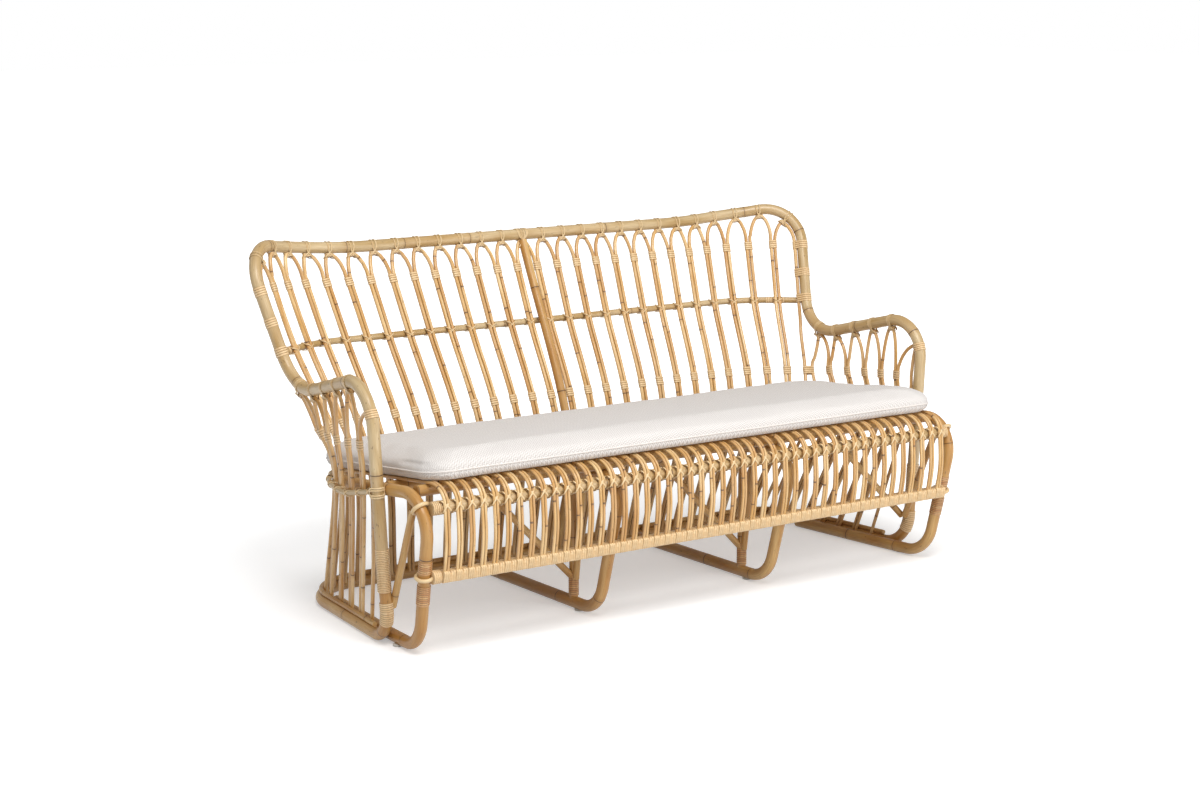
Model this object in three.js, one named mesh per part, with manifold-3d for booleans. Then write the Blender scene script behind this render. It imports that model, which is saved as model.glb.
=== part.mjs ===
// Rattan garden sofa: bent cane poles, bound rods and one loose seat cushion.
// Millimetres. +X runs to the sitter's left as seen from the front, +Y to the back, +Z up.

import * as THREE from 'three';
import { mergeVertices } from 'three/addons/utils/BufferGeometryUtils.js';
import Module from 'manifold-3d';

const wasm = await Module();
wasm.setup();

// Cane, strip and the clearance between pieces that touch
const poleDiameter = 31;
const crossPoleDiameter = 28;
const bottomRailDiameter = 26;
const centrePostDiameter = 24;
const postDiameter = 23;
const braceDiameter = 18;
const midRailDiameter = 18;
const thinPoleDiameter = 13;
const backRodDiameter = 10.5;
const armRodDiameter = 10;
const seatRodDiameter = 8;
const stripThickness = 1.6;
const railWrapThickness = 1.9;
const fit = 0.3;

// Heights above the floor, to centre lines
const glideThickness = 4;
const waistHeight = 350;
const topRailHeight = 864;
const cornerRise = 45;
const archHeight = 79;
const midRailShare = 0.5584;
const armFrontShare = 0.5934;
const valleyShare = 0.3755;
const ringRise = 32;
const seatFrontHeight = 394;
const frontRailHeight = 364;
const bottomRailHeight = 201;
const spliceHeight = 190;

// Plan sizes; y is measured back from the arm posts, x out from the middle
const backWaistDepth = 462;
const backTopSetback = 228;
const baseSetback = 63;
const cornerForward = 117;
const riseInset = 378;
const valleyForward = 22;
const armHalfWidth = 858;
const baseCornerInset = 229;
const waistCornerInset = 335;
const wingInset = 238;
const lowWingInset = 283;
const cornerFlare = 31;
const valleyInset = 36;
const postFootInset = 37;
const postLean = 34;
const endLoopInset = 63;
const endLoopFlare = 17;
const midLoopShare = 0.33585;
const baseCornerRadius = 150;
const baseSideToe = THREE.MathUtils.degToRad(5.7);
const waistCornerRadius = 310;
const wingRadius = 240;
const seatSlope = THREE.MathUtils.degToRad(6);

// Bends
const postTopBend = 97;
const postFootBend = 85;
const valleyBend = 118;
const topCornerBend = 105;
const footBend = 90;
const endKneeBend = 85;
const midKneeBend = 60;

// Legs: where the leg line meets the floor run and the seat run, forward of the arm posts
const endFootReach = 103;
const endKneeReach = 188;
const midFootReach = 73;
const legLean = THREE.MathUtils.degToRad(16.2);

// Rods
const backPairCount = 26;
const baseRodInset = 157;
const endPairDraw = 10;
const drawnPairs = 3;
const armTieCount = 6;
const armFirstTie = 117;
const armTieSpare = 40;
const postTieDrop = 89;
const armWrapFrontDrop = 167;
const armWrapRearDrop = 195;
const seatPairCount = 47;
const seatRodInset = 77.8;
const seatGroups = 6;
const apronBulge = 9;
const wrapLength = 24;

// Posts and braces under the seat
const middleCrossDepth = 36;
const frontCrossDepth = -98;
const braceFootHeight = 78;
const braceWrapLength = 60;
const spliceWrapLength = 104;

// Cushion and glides
const cushionEndInset = 60;
const cushionFrontReach = 166;
const cushionBackClearance = 38;
const cushionHeight = 50;
const cushionCrown = 14;
const cushionDrawIn = 7;
const cushionFrontCorner = 70;
const cushionBackCorner = 250;
const glideDiameter = 24;
const glideHeight = 9;

const poleSides = 8;
const rodSides = 5;
const thinSides = 6;

const poleRadius = poleDiameter / 2;
const crossRadius = crossPoleDiameter / 2;
const bottomRailRadius = bottomRailDiameter / 2;
const centrePostRadius = centrePostDiameter / 2;
const postRadius = postDiameter / 2;
const braceRadius = braceDiameter / 2;
const midRailRadius = midRailDiameter / 2;
const thinRadius = thinPoleDiameter / 2;
const backRodRadius = backRodDiameter / 2;
const armRodRadius = armRodDiameter / 2;
const seatRodRadius = seatRodDiameter / 2;

// Heights, widths and depths that follow others
const aboveWaist = topRailHeight - waistHeight;
const upperWrapHeight = topRailHeight - archHeight;
const midRailHeight = waistHeight + aboveWaist * midRailShare;
const armFrontHeight = waistHeight + aboveWaist * armFrontShare;
const valleyHeight = waistHeight + aboveWaist * valleyShare;
const backTopDepth = backWaistDepth + backTopSetback;
const baseDepth = backWaistDepth + baseSetback;
const cornerDepth = backTopDepth - cornerForward;
const valleyDepth = backWaistDepth - valleyForward;
const baseHalfBack = armHalfWidth - baseCornerInset;
const waistHalfBack = armHalfWidth - waistCornerInset;
const wingStartTop = armHalfWidth - wingInset;
const wingStartLow = armHalfWidth - lowWingInset;
const riseStart = armHalfWidth - riseInset;
const cornerHalfWidth = armHalfWidth + cornerFlare;
const valleyHalfWidth = armHalfWidth - valleyInset;
const postFootHalfWidth = armHalfWidth - postFootInset;
const endLoopHalfWidth = armHalfWidth - endLoopInset;
const midLoopHalfWidth = endLoopHalfWidth * midLoopShare;
const cushionHalfLength = armHalfWidth - cushionEndInset;
const cushionDepth = backWaistDepth + cushionFrontReach - cushionBackClearance;
const backTopPitch = armHalfWidth / (backPairCount / 2);
const backBasePitch = (armHalfWidth - baseRodInset) / (backPairCount / 2);
const armTiePitch = (valleyDepth - armFirstTie - armTieSpare) / (armTieCount - 2);
const seatPitch = (armHalfWidth - seatRodInset) / (seatPairCount / 2);

// Touching pieces meet flat to flat
const flat = (radius, sides = poleSides) => radius * Math.cos(Math.PI / sides);
const floorCentre = flat(poleRadius);
const footCentre = glideThickness + floorCentre;

const V = (x, y, z) => new THREE.Vector3(x, y, z);
const mix = THREE.MathUtils.lerp;
const mirrored = (points, side) => points.map((p) => V(p.x * side, p.y, p.z));

// A cane is drawn through its stations; every ring of faces sits on one station
class Cane extends THREE.Curve {
  constructor(stations, across) {
    super();
    this.stations = stations;
    this.across = across;
  }

  computeFrenetFrames(segments, closed) {
    if (!this.across) return super.computeFrenetFrames(segments, closed);
    const tangents = this.stations.map((_, i) => this.getTangentAt(i / segments));
    const normals = tangents.map((along, i) => {
      const side = this.across(this.stations[i]);
      return side.clone().addScaledVector(along, -side.dot(along)).normalize();
    });
    const binormals = tangents.map((along, i) => along.clone().cross(normals[i]));
    return { tangents, normals, binormals };
  }

  getPointAt(u, target = V(0, 0, 0)) {
    const last = this.stations.length - 1;
    return target.copy(this.stations[Math.round(u * last)]);
  }

  getTangentAt(u, target = V(0, 0, 0)) {
    const last = this.stations.length - 1;
    const i = Math.round(u * last);
    const here = this.stations[i];
    const before = this.stations[Math.max(i - 1, 0)];
    const after = this.stations[Math.min(i + 1, last)];
    const arriving = here.clone().sub(before).normalize();
    const leaving = after.clone().sub(here).normalize();
    return target.copy(arriving).add(leaving).normalize();
  }
}

function solid(geometry) {
  geometry.deleteAttribute('normal');
  geometry.deleteAttribute('uv');
  const merged = mergeVertices(geometry);
  const vertProperties = new Float32Array(merged.attributes.position.array);
  const triVerts = new Uint32Array(merged.index.array);
  return new wasm.Manifold(new wasm.Mesh({ numProp: 3, vertProperties, triVerts }));
}

function roundSection(radius, sides) {
  const shape = new THREE.Shape();
  for (let i = 0; i < sides; i += 1) {
    const angle = ((i + 0.5) * 2 * Math.PI) / sides;
    const x = radius * Math.cos(angle);
    const y = radius * Math.sin(angle);
    if (i === 0) shape.moveTo(x, y);
    else shape.lineTo(x, y);
  }
  shape.closePath();
  return shape;
}

// Two rods laid side by side
function pairSection(radius) {
  const half = [[2 * radius, 0], [radius, radius], [-radius, radius]];
  const points = [...half, ...half.map(([x, y]) => [-x, -y])];
  return new THREE.Shape(points.map(([x, y]) => new THREE.Vector2(x, y)));
}

function sweep(stations, section, across) {
  const extrudePath = new Cane(stations, across);
  const steps = stations.length - 1;
  return solid(new THREE.ExtrudeGeometry(section, { steps, extrudePath, bevelEnabled: false }));
}

const tube = (stations, radius, sides = poleSides, across = undefined) =>
  sweep(stations, roundSection(radius, sides), across);

const join = (pieces) => pieces.reduce((whole, piece) => whole.add(piece));

// Where a bend of the given radius is centred between its two straight runs
function bendCentre(before, corner, after, radius) {
  const back = before.clone().sub(corner).normalize();
  const on = after.clone().sub(corner).normalize();
  const half = back.angleTo(on) / 2;
  const middle = back.clone().add(on).normalize();
  return corner.clone().addScaledVector(middle, radius / Math.sin(half));
}

// Stations along straight runs joined by round bends; a corner is { at, radius, steps }
function bent(corners) {
  const stations = [];
  corners.forEach(({ at, radius, steps }, i) => {
    if (!radius) {
      stations.push(at);
      return;
    }
    const before = corners[i - 1].at;
    const after = corners[i + 1].at;
    const centre = bendCentre(before, at, after, radius);
    const back = before.clone().sub(at).normalize();
    const on = after.clone().sub(at).normalize();
    const run = radius / Math.tan(back.angleTo(on) / 2);
    const first = at.clone().addScaledVector(back, run).sub(centre);
    const final = at.clone().addScaledVector(on, run).sub(centre);
    const turn = first.angleTo(final);
    for (let k = 0; k <= steps; k += 1) {
      const share = k / steps;
      const from = Math.sin((1 - share) * turn) / Math.sin(turn);
      const to = Math.sin(share * turn) / Math.sin(turn);
      stations.push(centre.clone().addScaledVector(first, from).addScaledVector(final, to));
    }
  });
  return stations;
}

// A point of a cane at a given height, on a run that only rises or only falls
function pointAt(stations, height) {
  for (let i = 1; i < stations.length; i += 1) {
    const a = stations[i - 1];
    const b = stations[i];
    const share = (height - a.z) / (b.z - a.z);
    if (share >= 0 && share <= 1) return a.clone().lerp(b, share);
  }
  throw new Error('no station at that height');
}

// The stretch of such a run between two heights
function stretch(stations, low, high) {
  const between = stations.filter((p) => p.z > low && p.z < high);
  const rising = stations[0].z < stations[stations.length - 1].z;
  const [first, last] = rising ? [low, high] : [high, low];
  return [pointAt(stations, first), ...between, pointAt(stations, last)];
}

// A binding of strip: a flat oval collar round the pieces it holds
function collar(centre, along, across, halfWidth, halfHeight, length) {
  const bevelShare = 0.55;
  const points = [
    [halfWidth, 0],
    [halfWidth * bevelShare, halfHeight],
    [-halfWidth * bevelShare, halfHeight],
    [-halfWidth, 0],
    [-halfWidth * bevelShare, -halfHeight],
    [halfWidth * bevelShare, -halfHeight],
  ];
  const shape = new THREE.Shape(points.map(([x, y]) => new THREE.Vector2(x, y)));
  const geometry = new THREE.ExtrudeGeometry(shape, { depth: length, steps: 1, bevelEnabled: false });
  const axis = along.clone().normalize();
  const side = across.clone().addScaledVector(axis, -across.dot(axis)).normalize();
  const up = axis.clone().cross(side);
  const start = centre.clone().addScaledVector(axis, -length / 2);
  geometry.applyMatrix4(new THREE.Matrix4().makeBasis(side, up, axis).setPosition(start));
  return solid(geometry);
}

// Seat plane: the cross poles' centre line, the rods on them and the cushion all slope together
const crossHeight = (y) => seatFrontHeight - Math.tan(seatSlope) * (y - frontCrossDepth);
const seatStep = (distance) => distance / Math.cos(seatSlope);
const midLoopHeight = (y) => crossHeight(y) - seatStep(flat(poleRadius) + flat(crossRadius) + fit);
const seatRodHeight = (y) => crossHeight(y) + seatStep(flat(crossRadius) + seatRodRadius + fit);
const endLoopHeight = (y) => seatRodHeight(y) - seatStep(seatRodRadius + flat(poleRadius) + fit);

// Back plane: a straight recline above the waist, wings that curve forward at the ends
const backRecline = Math.atan2(backTopDepth - backWaistDepth, topRailHeight - waistHeight);
const backUp = V(0, Math.sin(backRecline), Math.cos(backRecline));
const backLine = (z) => backWaistDepth + Math.tan(backRecline) * (z - waistHeight);
const aboveWaistShare = (z) => (z - waistHeight) / aboveWaist;
const wingStart = (z) => mix(wingStartLow, wingStartTop, aboveWaistShare(z));
const wingReach = (x, z) => Math.max(0, Math.abs(x) - wingStart(z));
const backDepthAt = (x, z) => backLine(z) - wingReach(x, z) ** 2 / (2 * wingRadius);
const backAcross = (x, z) => V(1, (-Math.sign(x) * wingReach(x, z)) / wingRadius, 0).normalize();
const backPitch = (z) => mix(backBasePitch, backTopPitch, z / topRailHeight);

// Plan curves by distance round from the middle of the back; inset draws them inward
function planPoint(distance, halfBack, depth, radius, sweepAngle, inset, z) {
  const side = Math.sign(distance) || 1;
  const s = Math.abs(distance);
  const inner = radius - inset;
  if (s <= halfBack) return V(side * s, depth - inset, z);
  const angle = Math.min((s - halfBack) / radius, sweepAngle);
  const past = Math.max(0, s - halfBack - radius * sweepAngle);
  const x = halfBack + inner * Math.sin(angle) + past * Math.cos(sweepAngle);
  const y = depth - radius + inner * Math.cos(angle) - past * Math.sin(sweepAngle);
  return V(side * x, y, z);
}
const baseSweep = Math.PI / 2 - baseSideToe;
const basePlan = (s, inset, z) =>
  planPoint(s, baseHalfBack, baseDepth, baseCornerRadius, baseSweep, inset, z);
const waistPlan = (s, inset, z) =>
  planPoint(s, waistHalfBack, backWaistDepth, waistCornerRadius, Math.PI / 2, inset, z);
const waistLevel = (y) =>
  waistHeight + ringRise * THREE.MathUtils.clamp(1 - y / waistSideStart, 0, 1);
const baseArcEnd = baseHalfBack + baseCornerRadius * baseSweep;
const waistArcEnd = waistHalfBack + (waistCornerRadius * Math.PI) / 2;
const waistSideStart = backWaistDepth - waistCornerRadius;
const baseSideDepth = basePlan(baseArcEnd, 0, 0).y;
const baseSideHalf = basePlan(baseArcEnd, 0, 0).x;
const basePlanAt = (y) => baseArcEnd + (baseSideDepth - y) / Math.cos(baseSideToe);

// One pole runs from post foot to post foot: arms, sides of the back and the top rail
const postX = (z) => mix(postFootHalfWidth, postFootHalfWidth + postLean, z / armFrontHeight);
const valleyCorner = V(valleyHalfWidth, valleyDepth, valleyHeight);
const topCorner = V(cornerHalfWidth, cornerDepth, topRailHeight + cornerRise);
const riseShare = (x) => Math.max(0, Math.abs(x) - riseStart) / (cornerHalfWidth - riseStart);
const topRailRise = (x) => cornerRise * riseShare(x) ** 2;
const topRailPoint = (x) => V(x, backDepthAt(x, topRailHeight), topRailHeight + topRailRise(x));
const topRailShares = [0, 0.225, 0.5, 1];
const wingShares = [0.48, 0.62, 0.8];
const cornerSteps = 5;
const baseSteps = 5;

function upperPole() {
  const half = bent([
    { at: V(postX(spliceHeight), 0, spliceHeight + fit) },
    { at: V(armHalfWidth, 0, armFrontHeight), radius: postTopBend, steps: 6 },
    { at: valleyCorner, radius: valleyBend, steps: 4 },
    { at: topCorner, radius: topCornerBend, steps: cornerSteps },
    ...wingShares
      .map((share) => ({ at: topRailPoint(mix(cornerHalfWidth, wingStartTop, share)) })),
    ...topRailShares
      .map((share) => ({ at: topRailPoint(mix(wingStartTop, 0, share)) })),
  ]);
  const other = mirrored(half.slice(0, -1), -1).reverse();
  return [...half, ...other];
}
const upperPath = upperPole();
const upperOutward = (p) => {
  const outside = Math.max(0, Math.abs(p.x) - cornerHalfWidth + topCornerBend);
  const above = Math.max(0, p.z - topRailHeight + poleRadius);
  return V(Math.sign(p.x) * outside, 0, 0).addScaledVector(backUp, above);
};
const bandRadius = poleRadius + stripThickness;

// Ties: rods meet in twos under the pole
const lastTie = backPairCount / 2;
const tieSinkShare = 0.3;
const wingWrapShare = 0.5;
function sidePoleCentre(z, side) {
  const share = (z - valleyCorner.z) / (topCorner.z - valleyCorner.z);
  const centre = valleyCorner.clone().lerp(topCorner, share);
  return V(side * centre.x, centre.y, centre.z);
}
const wingEnd = topRailPoint(mix(cornerHalfWidth, wingStartTop, wingShares[0]));
const cornerCentre = bendCentre(valleyCorner, topCorner, wingEnd, topCornerBend);
const cornerBend = bent([
  { at: valleyCorner },
  { at: topCorner, radius: topCornerBend, steps: cornerSteps },
  { at: wingEnd },
]).slice(1, -1);
function insideCorner(share, side) {
  const [before, after] = [cornerBend[Math.floor(share)], cornerBend[Math.ceil(share)]];
  const pole = before.clone().lerp(after, share - Math.floor(share));
  const inward = cornerCentre.clone().sub(pole).normalize();
  const centre = pole.addScaledVector(inward, poleRadius + backRodRadius + 2 * fit);
  return V(side * centre.x, centre.y, centre.z);
}
function armPoleAt(y, side) {
  const next = upperPath.findIndex((p) => p.y > y);
  const [a, b] = [upperPath[next - 1], upperPath[next]];
  const centre = a.clone().lerp(b, (y - a.y) / (b.y - a.y));
  return V(side * centre.x, y, centre.z);
}
const armTieDepth = (i) => armFirstTie + (i - 1) * armTiePitch;

// The first tie of an arm is on the post, the others under the pole
function armTie(i, side) {
  const drop = poleRadius + fit + armRodRadius * tieSinkShare;
  if (i > 0) return armPoleAt(armTieDepth(i), side).add(V(0, 0, -drop));
  const post = pointAt(upperPath, armFrontHeight - postTieDrop);
  return V(side * post.x, post.y + drop, post.z);
}
const upperPoleCutter = tube(upperPath, poleRadius + fit, poleSides, upperOutward);

// The base pole: down from the splices, round the post feet and flat along sides and back
function basePole() {
  const floorCorner = V(basePlan(basePlanAt(0), 0, 0).x, 0, floorCentre);
  const half = [
    ...bent([
      { at: V(postX(spliceHeight), 0, spliceHeight) },
      { at: floorCorner, radius: postFootBend, steps: 5 },
      { at: V(baseSideHalf, baseSideDepth, floorCentre) },
    ]).slice(0, -1),
  ];
  for (let k = 0; k <= baseSteps; k += 1) {
    half.push(basePlan(mix(baseArcEnd, baseHalfBack, k / baseSteps), 0, floorCentre));
  }
  return [...half, ...mirrored(half, -1).reverse()];
}
const basePath = basePole();
const baseOutward = (p) => V(Math.sign(p.x) * Math.max(0, Math.abs(p.x) - baseHalfBack),
  Math.max(0, p.y - baseDepth + baseCornerRadius), 0);
const basePoleCutter = tube(basePath, poleRadius + fit, poleSides, baseOutward);

// Round the base and the waist: even steps on the corners, straight along sides and back
function round(plan, from, arcEnd, arcStart, steps, inset, z) {
  const half = [plan(from, inset, z)];
  for (let k = 0; k <= steps; k += 1) {
    half.push(plan(mix(arcEnd, arcStart, k / steps), inset, z));
  }
  return [...half, ...mirrored(half, -1).reverse()];
}
const waistSteps = 9;
const sag = (radius, turn) => radius * (1 - Math.cos(turn / 2));

// Rods stand on the base pole's shoulder, inside the thin pole, and pass inside the waist ring
const rodFootHeight = floorCentre + poleRadius / 2;
const thinPoleHeight = floorCentre + flat(poleRadius) + flat(thinRadius, thinSides) + fit;
const footLeanShare = (baseDepth - backWaistDepth) / (waistHeight - rodFootHeight);
const rodInset = flat(thinRadius, thinSides) + backRodRadius + 5 * fit
  - footLeanShare * (thinPoleHeight - rodFootHeight);
const ringOutset = flat(thinRadius, thinSides) + backRodRadius / Math.cos(backRecline)
  + 4 * fit + sag(waistCornerRadius, Math.PI / 2 / waistSteps);

// End loops: floor run, front leg, knee and a seat run inside the side rods
const endLoopX = (z) => mix(endLoopHalfWidth, endLoopHalfWidth + endLoopFlare,
  (z - footCentre) / (seatFrontHeight - footCentre));
const endRunBack = waistSideStart + waistCornerRadius / 3;
const sideRodX = waistHalfBack + waistCornerRadius;
const endRunX = sideRodX - backRodRadius - poleRadius - fit;
const runnerInset = 2 * flat(poleRadius) + fit;
function endLoop() {
  const floorBack = basePlan(baseArcEnd, runnerInset, floorCentre);
  const floorSide = basePlan(basePlanAt(postFootBend), runnerInset, floorCentre);
  const foot = V(endLoopX(footCentre), -endFootReach, footCentre);
  const knee = V(endRunX, -endKneeReach, endLoopHeight(-endKneeReach));
  return bent([
    { at: floorBack },
    { at: floorSide },
    { at: foot, radius: footBend, steps: 4 },
    { at: knee, radius: endKneeBend, steps: 5 },
    { at: V(endRunX, waistSideStart / 2, endLoopHeight(waistSideStart / 2)) },
    { at: waistPlan(waistArcEnd - waistCornerRadius / 3,
      backRodRadius + poleRadius + 2 * fit, endLoopHeight(endRunBack)) },
  ]);
}
const endPath = endLoop();
const endLoopCutter = tube(endPath, poleRadius + fit);

// Middle loops lie one pole lower, so the cross poles can pass over them
const midLegDepth = (z) => -midFootReach - Math.tan(legLean) * (z - footCentre);
const midKneeHeight = (() => {
  const slope = Math.tan(seatSlope);
  const lean = Math.tan(legLean);
  const level = midLoopHeight(0);
  return (level + slope * (midFootReach - lean * footCentre)) / (1 - slope * lean);
})();
const midKnee = V(midLoopHalfWidth, midLegDepth(midKneeHeight), midKneeHeight);
const midFoot = V(midLoopHalfWidth, -midFootReach, footCentre);
const midRunEnd = (() => {
  const z = midLoopHeight(backWaistDepth) - poleRadius;
  const y = backLine(z) - backRodRadius - 2 * fit;
  return V(midLoopHalfWidth, y, midLoopHeight(y));
})();
function midLoop() {
  const floorBack = V(midLoopHalfWidth, baseDepth - runnerInset, floorCentre);
  return bent([
    { at: floorBack },
    { at: midFoot, radius: footBend, steps: 4 },
    { at: midKnee, radius: midKneeBend, steps: 5 },
    { at: midRunEnd },
  ]);
}

// Front rail is notched over the knees of the middle loops; its ends butt against the end legs
const midLoopCutters = [1, -1].map((side) => tube(mirrored(midLoop(), side), poleRadius + fit));
const kneeCentre = bendCentre(midFoot, midKnee, midRunEnd, midKneeBend);
const frontRailDepth = kneeCentre.y
  - Math.sqrt((midKneeBend + 2 * flat(poleRadius)) ** 2 - (frontRailHeight - kneeCentre.z) ** 2);
const frontRailEnd = endLoopX(frontRailHeight) - poleRadius - fit;
const wrapRadius = bottomRailRadius + railWrapThickness;
const bottomRailDepth = midLegDepth(bottomRailHeight)
  - (flat(poleRadius) + flat(wrapRadius)) / Math.cos(legLean);
const bottomRailEnd = endLoopX(bottomRailHeight) - poleRadius - fit;

function hoopedRail(depth, height, end, radius) {
  const rail = tube([V(-end, depth, height), V(end, depth, height)], radius);
  const hoopRadius = poleRadius + fit + stripThickness;
  const reach = hoopRadius - poleRadius + thinRadius;
  const loops = [1, -1].map((side) => {
    const leg = mirrored(endPath.slice(0, -2), side);
    const band = tube(stretch(leg, height - thinRadius, height + thinRadius), hoopRadius);
    const stub = tube([V(side * (end - reach), depth, height),
      V(side * (end + stripThickness), depth, height)], radius);
    const cutter = tube(mirrored(endPath, side), poleRadius + fit);
    return band.add(stub).subtract(cutter);
  });
  const coped = rail.subtract(tube(endPath, poleRadius + fit))
    .subtract(tube(mirrored(endPath, -1), poleRadius + fit));
  return midLoopCutters.reduce((whole, cutter) => whole.subtract(cutter), join([coped, ...loops]));
}

// Seat rods: up the apron, over the front rail and back along the cross poles
const rodOverRail = flat(poleRadius) + seatRodRadius + 2 * fit;
const apronTopDepth = frontRailDepth - rodOverRail;
const rodFoot = wrapRadius + seatRodRadius / 4;
const apronFootDepth = bottomRailDepth - rodFoot;
const seatRunStart = frontRailDepth + 2 * poleRadius + seatRodDiameter;
function seatRodBack(x) {
  const reach = Math.max(0, Math.abs(x) + 2 * seatRodRadius - waistHalfBack);
  const inner = waistCornerRadius - 2 * backRodDiameter;
  return waistSideStart + Math.sqrt(inner ** 2 - reach ** 2) - crossRadius / 2;
}
function seatRodPath(x) {
  const middle = (bottomRailHeight + frontRailHeight) / 2;
  const turnHeight = frontRailHeight + poleRadius / 2;
  const rise = seatRodHeight(seatRunStart) - turnHeight;
  const run = seatRunStart - apronTopDepth;
  const stations = [
    V(x, apronFootDepth, bottomRailHeight),
    V(x, (apronFootDepth + apronTopDepth) / 2 - apronBulge, middle),
    V(x, apronTopDepth, turnHeight),
  ];
  const arcSteps = 2;
  for (let k = 1; k <= arcSteps; k += 1) {
    const angle = (k / arcSteps) * (Math.PI / 2);
    stations.push(V(x, seatRunStart - run * Math.cos(angle), turnHeight + rise * Math.sin(angle)));
  }
  stations.push(V(x, seatRodBack(x), seatRodHeight(seatRodBack(x))));
  return stations;
}
function seatRodGroup(first, count) {
  const rods = [];
  for (let i = first; i < first + count; i += 1) {
    const x = (i - (seatPairCount - 1) / 2) * seatPitch;
    rods.push(sweep(seatRodPath(x), pairSection(seatRodRadius), () => V(1, 0, 0)));
  }
  const left = (first - seatPairCount / 2) * seatPitch + fit / 2;
  const right = left + count * seatPitch - fit;
  const wrap = tube([V(left, bottomRailDepth, bottomRailHeight),
    V(right, bottomRailDepth, bottomRailHeight)], wrapRadius);
  const core = tube([V(-bottomRailEnd, bottomRailDepth, bottomRailHeight),
    V(bottomRailEnd, bottomRailDepth, bottomRailHeight)], bottomRailRadius + fit);
  return midLoopCutters.reduce((whole, cutter) => whole.subtract(cutter),
    join([wrap, ...rods]).subtract(core));
}

// Back rods: bound pairs that part above the upper binding and reach the ties beside them.
// Towards each end they stand a little closer together
const endDraw = (pair) => {
  const share = Math.max(0, Math.abs(pair) - lastTie + 0.5 + drawnPairs) / drawnPairs;
  return Math.sign(pair) * endPairDraw * Math.min(share, 1) ** 2;
};
const pairReach = (pair, z) => pair * backPitch(z) - endDraw(pair);
const upperWrapAt = (pair) =>
  upperWrapHeight + topRailRise(pairReach(pair, upperWrapHeight)) * wingWrapShare;
function backPairCentre(pair, z) {
  const x = pairReach(pair, z);
  return V(x, backDepthAt(x, z), z);
}
function backPairPath(pair) {
  const waist = waistPlan(pairReach(pair, waistHeight), 0, waistHeight);
  const foot = basePlan(pairReach(pair, 0), rodInset, rodFootHeight);
  const wings = Math.abs(pair) * backBasePitch > waistHalfBack;
  const middle = wings ? [backPairCentre(pair, midRailHeight)] : [];
  return [foot, waist, ...middle, backPairCentre(pair, upperWrapAt(pair))];
}
function archTo(start, tie, towards, across, radius) {
  const end = tie.clone().addScaledVector(across, towards);
  const up = end.clone().sub(start);
  const archShares = [[0.18, 0.5], [0.52, 0.8], [1, 1]];
  const rise = up.clone().addScaledVector(across, -up.dot(across));
  return archShares.map(([sideways, upward]) => start.clone()
    .addScaledVector(across, up.dot(across) * sideways)
    .addScaledVector(rise, upward));
}
const tieMeet = backRodRadius + fit;
function tiePoint(index) {
  if (Math.abs(index) < lastTie) {
    const drop = poleRadius + fit + backRodRadius * tieSinkShare;
    return topRailPoint(pairReach(index, topRailHeight)).addScaledVector(backUp, -drop);
  }
  return insideCorner(cornerSteps / 2, Math.sign(index));
}
function sidePoleInner(z, side) {
  const inward = backAcross(side * valleyHalfWidth, z).multiplyScalar(-side);
  return sidePoleCentre(z, side).addScaledVector(inward, poleRadius + backRodRadius + 2 * fit);
}
function rodCollar(centre, up, across, radius) {
  return collar(centre, up, across, 2 * radius + stripThickness, radius + stripThickness, wrapLength);
}
function backPair(pair) {
  const path = backPairPath(pair);
  const wrap = path[path.length - 1];
  const across = backAcross(wrap.x, wrap.z);
  const body = sweep(path, pairSection(backRodRadius), (p) => backAcross(p.x, Math.max(p.z, waistHeight)));
  const rods = [-1, 1].map((hand) => {
    const start = wrap.clone().addScaledVector(across, hand * backRodRadius);
    const tie = tiePoint(pair + hand / 2);
    return tube([start, ...archTo(start, tie, -hand * tieMeet, across)], backRodRadius, rodSides);
  });
  const upper = wrap.clone().addScaledVector(backUp, -wrapLength / 4);
  const pieces = [body, ...rods, rodCollar(upper, backUp, across, backRodRadius)];
  const atEnd = Math.abs(pair) > lastTie - 1;
  if (atEnd) pieces.push(outerRod(Math.sign(pair)));
  const coped = join(pieces).subtract(upperPoleCutter).subtract(basePoleCutter);
  return Math.abs(pair) > lastTie - 2 ? coped.subtract(thinPoleCutter) : coped;
}

// The single rod that follows the side pole down from the corner tie
function outerRod(side, radius = backRodRadius) {
  const index = side * (lastTie + 0.1);
  const stations = [
    basePlan(index * backBasePitch, rodInset, rodFootHeight),
    waistPlan(index * backPitch(waistHeight), 0, waistHeight),
    sidePoleInner(valleyHeight + poleRadius, side),
    sidePoleInner(midRailHeight, side),
    insideCorner(0, side),
    insideCorner(1, side),
    insideCorner(2, side),
    insideCorner(cornerSteps / 2, side),
  ];
  return tube(stations, radius, rodSides);
}

// Mid rail runs behind the rods and is coped to the side poles and the rods beside them
function midRail() {
  const z = midRailHeight;
  const end = sidePoleCentre(z, 1).x;
  const steps = 4;
  const chord = (end - wingStart(z)) / steps;
  const away = (backRodRadius + flat(midRailRadius, thinSides) + 4 * fit) / Math.cos(backRecline);
  const at = (x) => {
    const across = backAcross(x, z);
    const out = V(-across.y, across.x, 0);
    const spare = x < wingStart(z) ? 0 : chord ** 2 / (8 * wingRadius);
    return V(x, backDepthAt(x, z), z).addScaledVector(out, away + spare);
  };
  const half = [at(wingStart(z) - chord)];
  for (let k = 0; k <= steps; k += 1) half.push(at(wingStart(z) + k * chord));
  const stations = [...mirrored(half, -1).reverse(), ...half];
  const facing = () => backUp;
  const rail = tube(stations, midRailRadius, thinSides, facing).subtract(upperPoleCutter);
  const [left, right] = [-1, 1].map((side) => outerRod(side, backRodRadius + fit));
  return rail.subtract(left).subtract(right);
}

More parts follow.
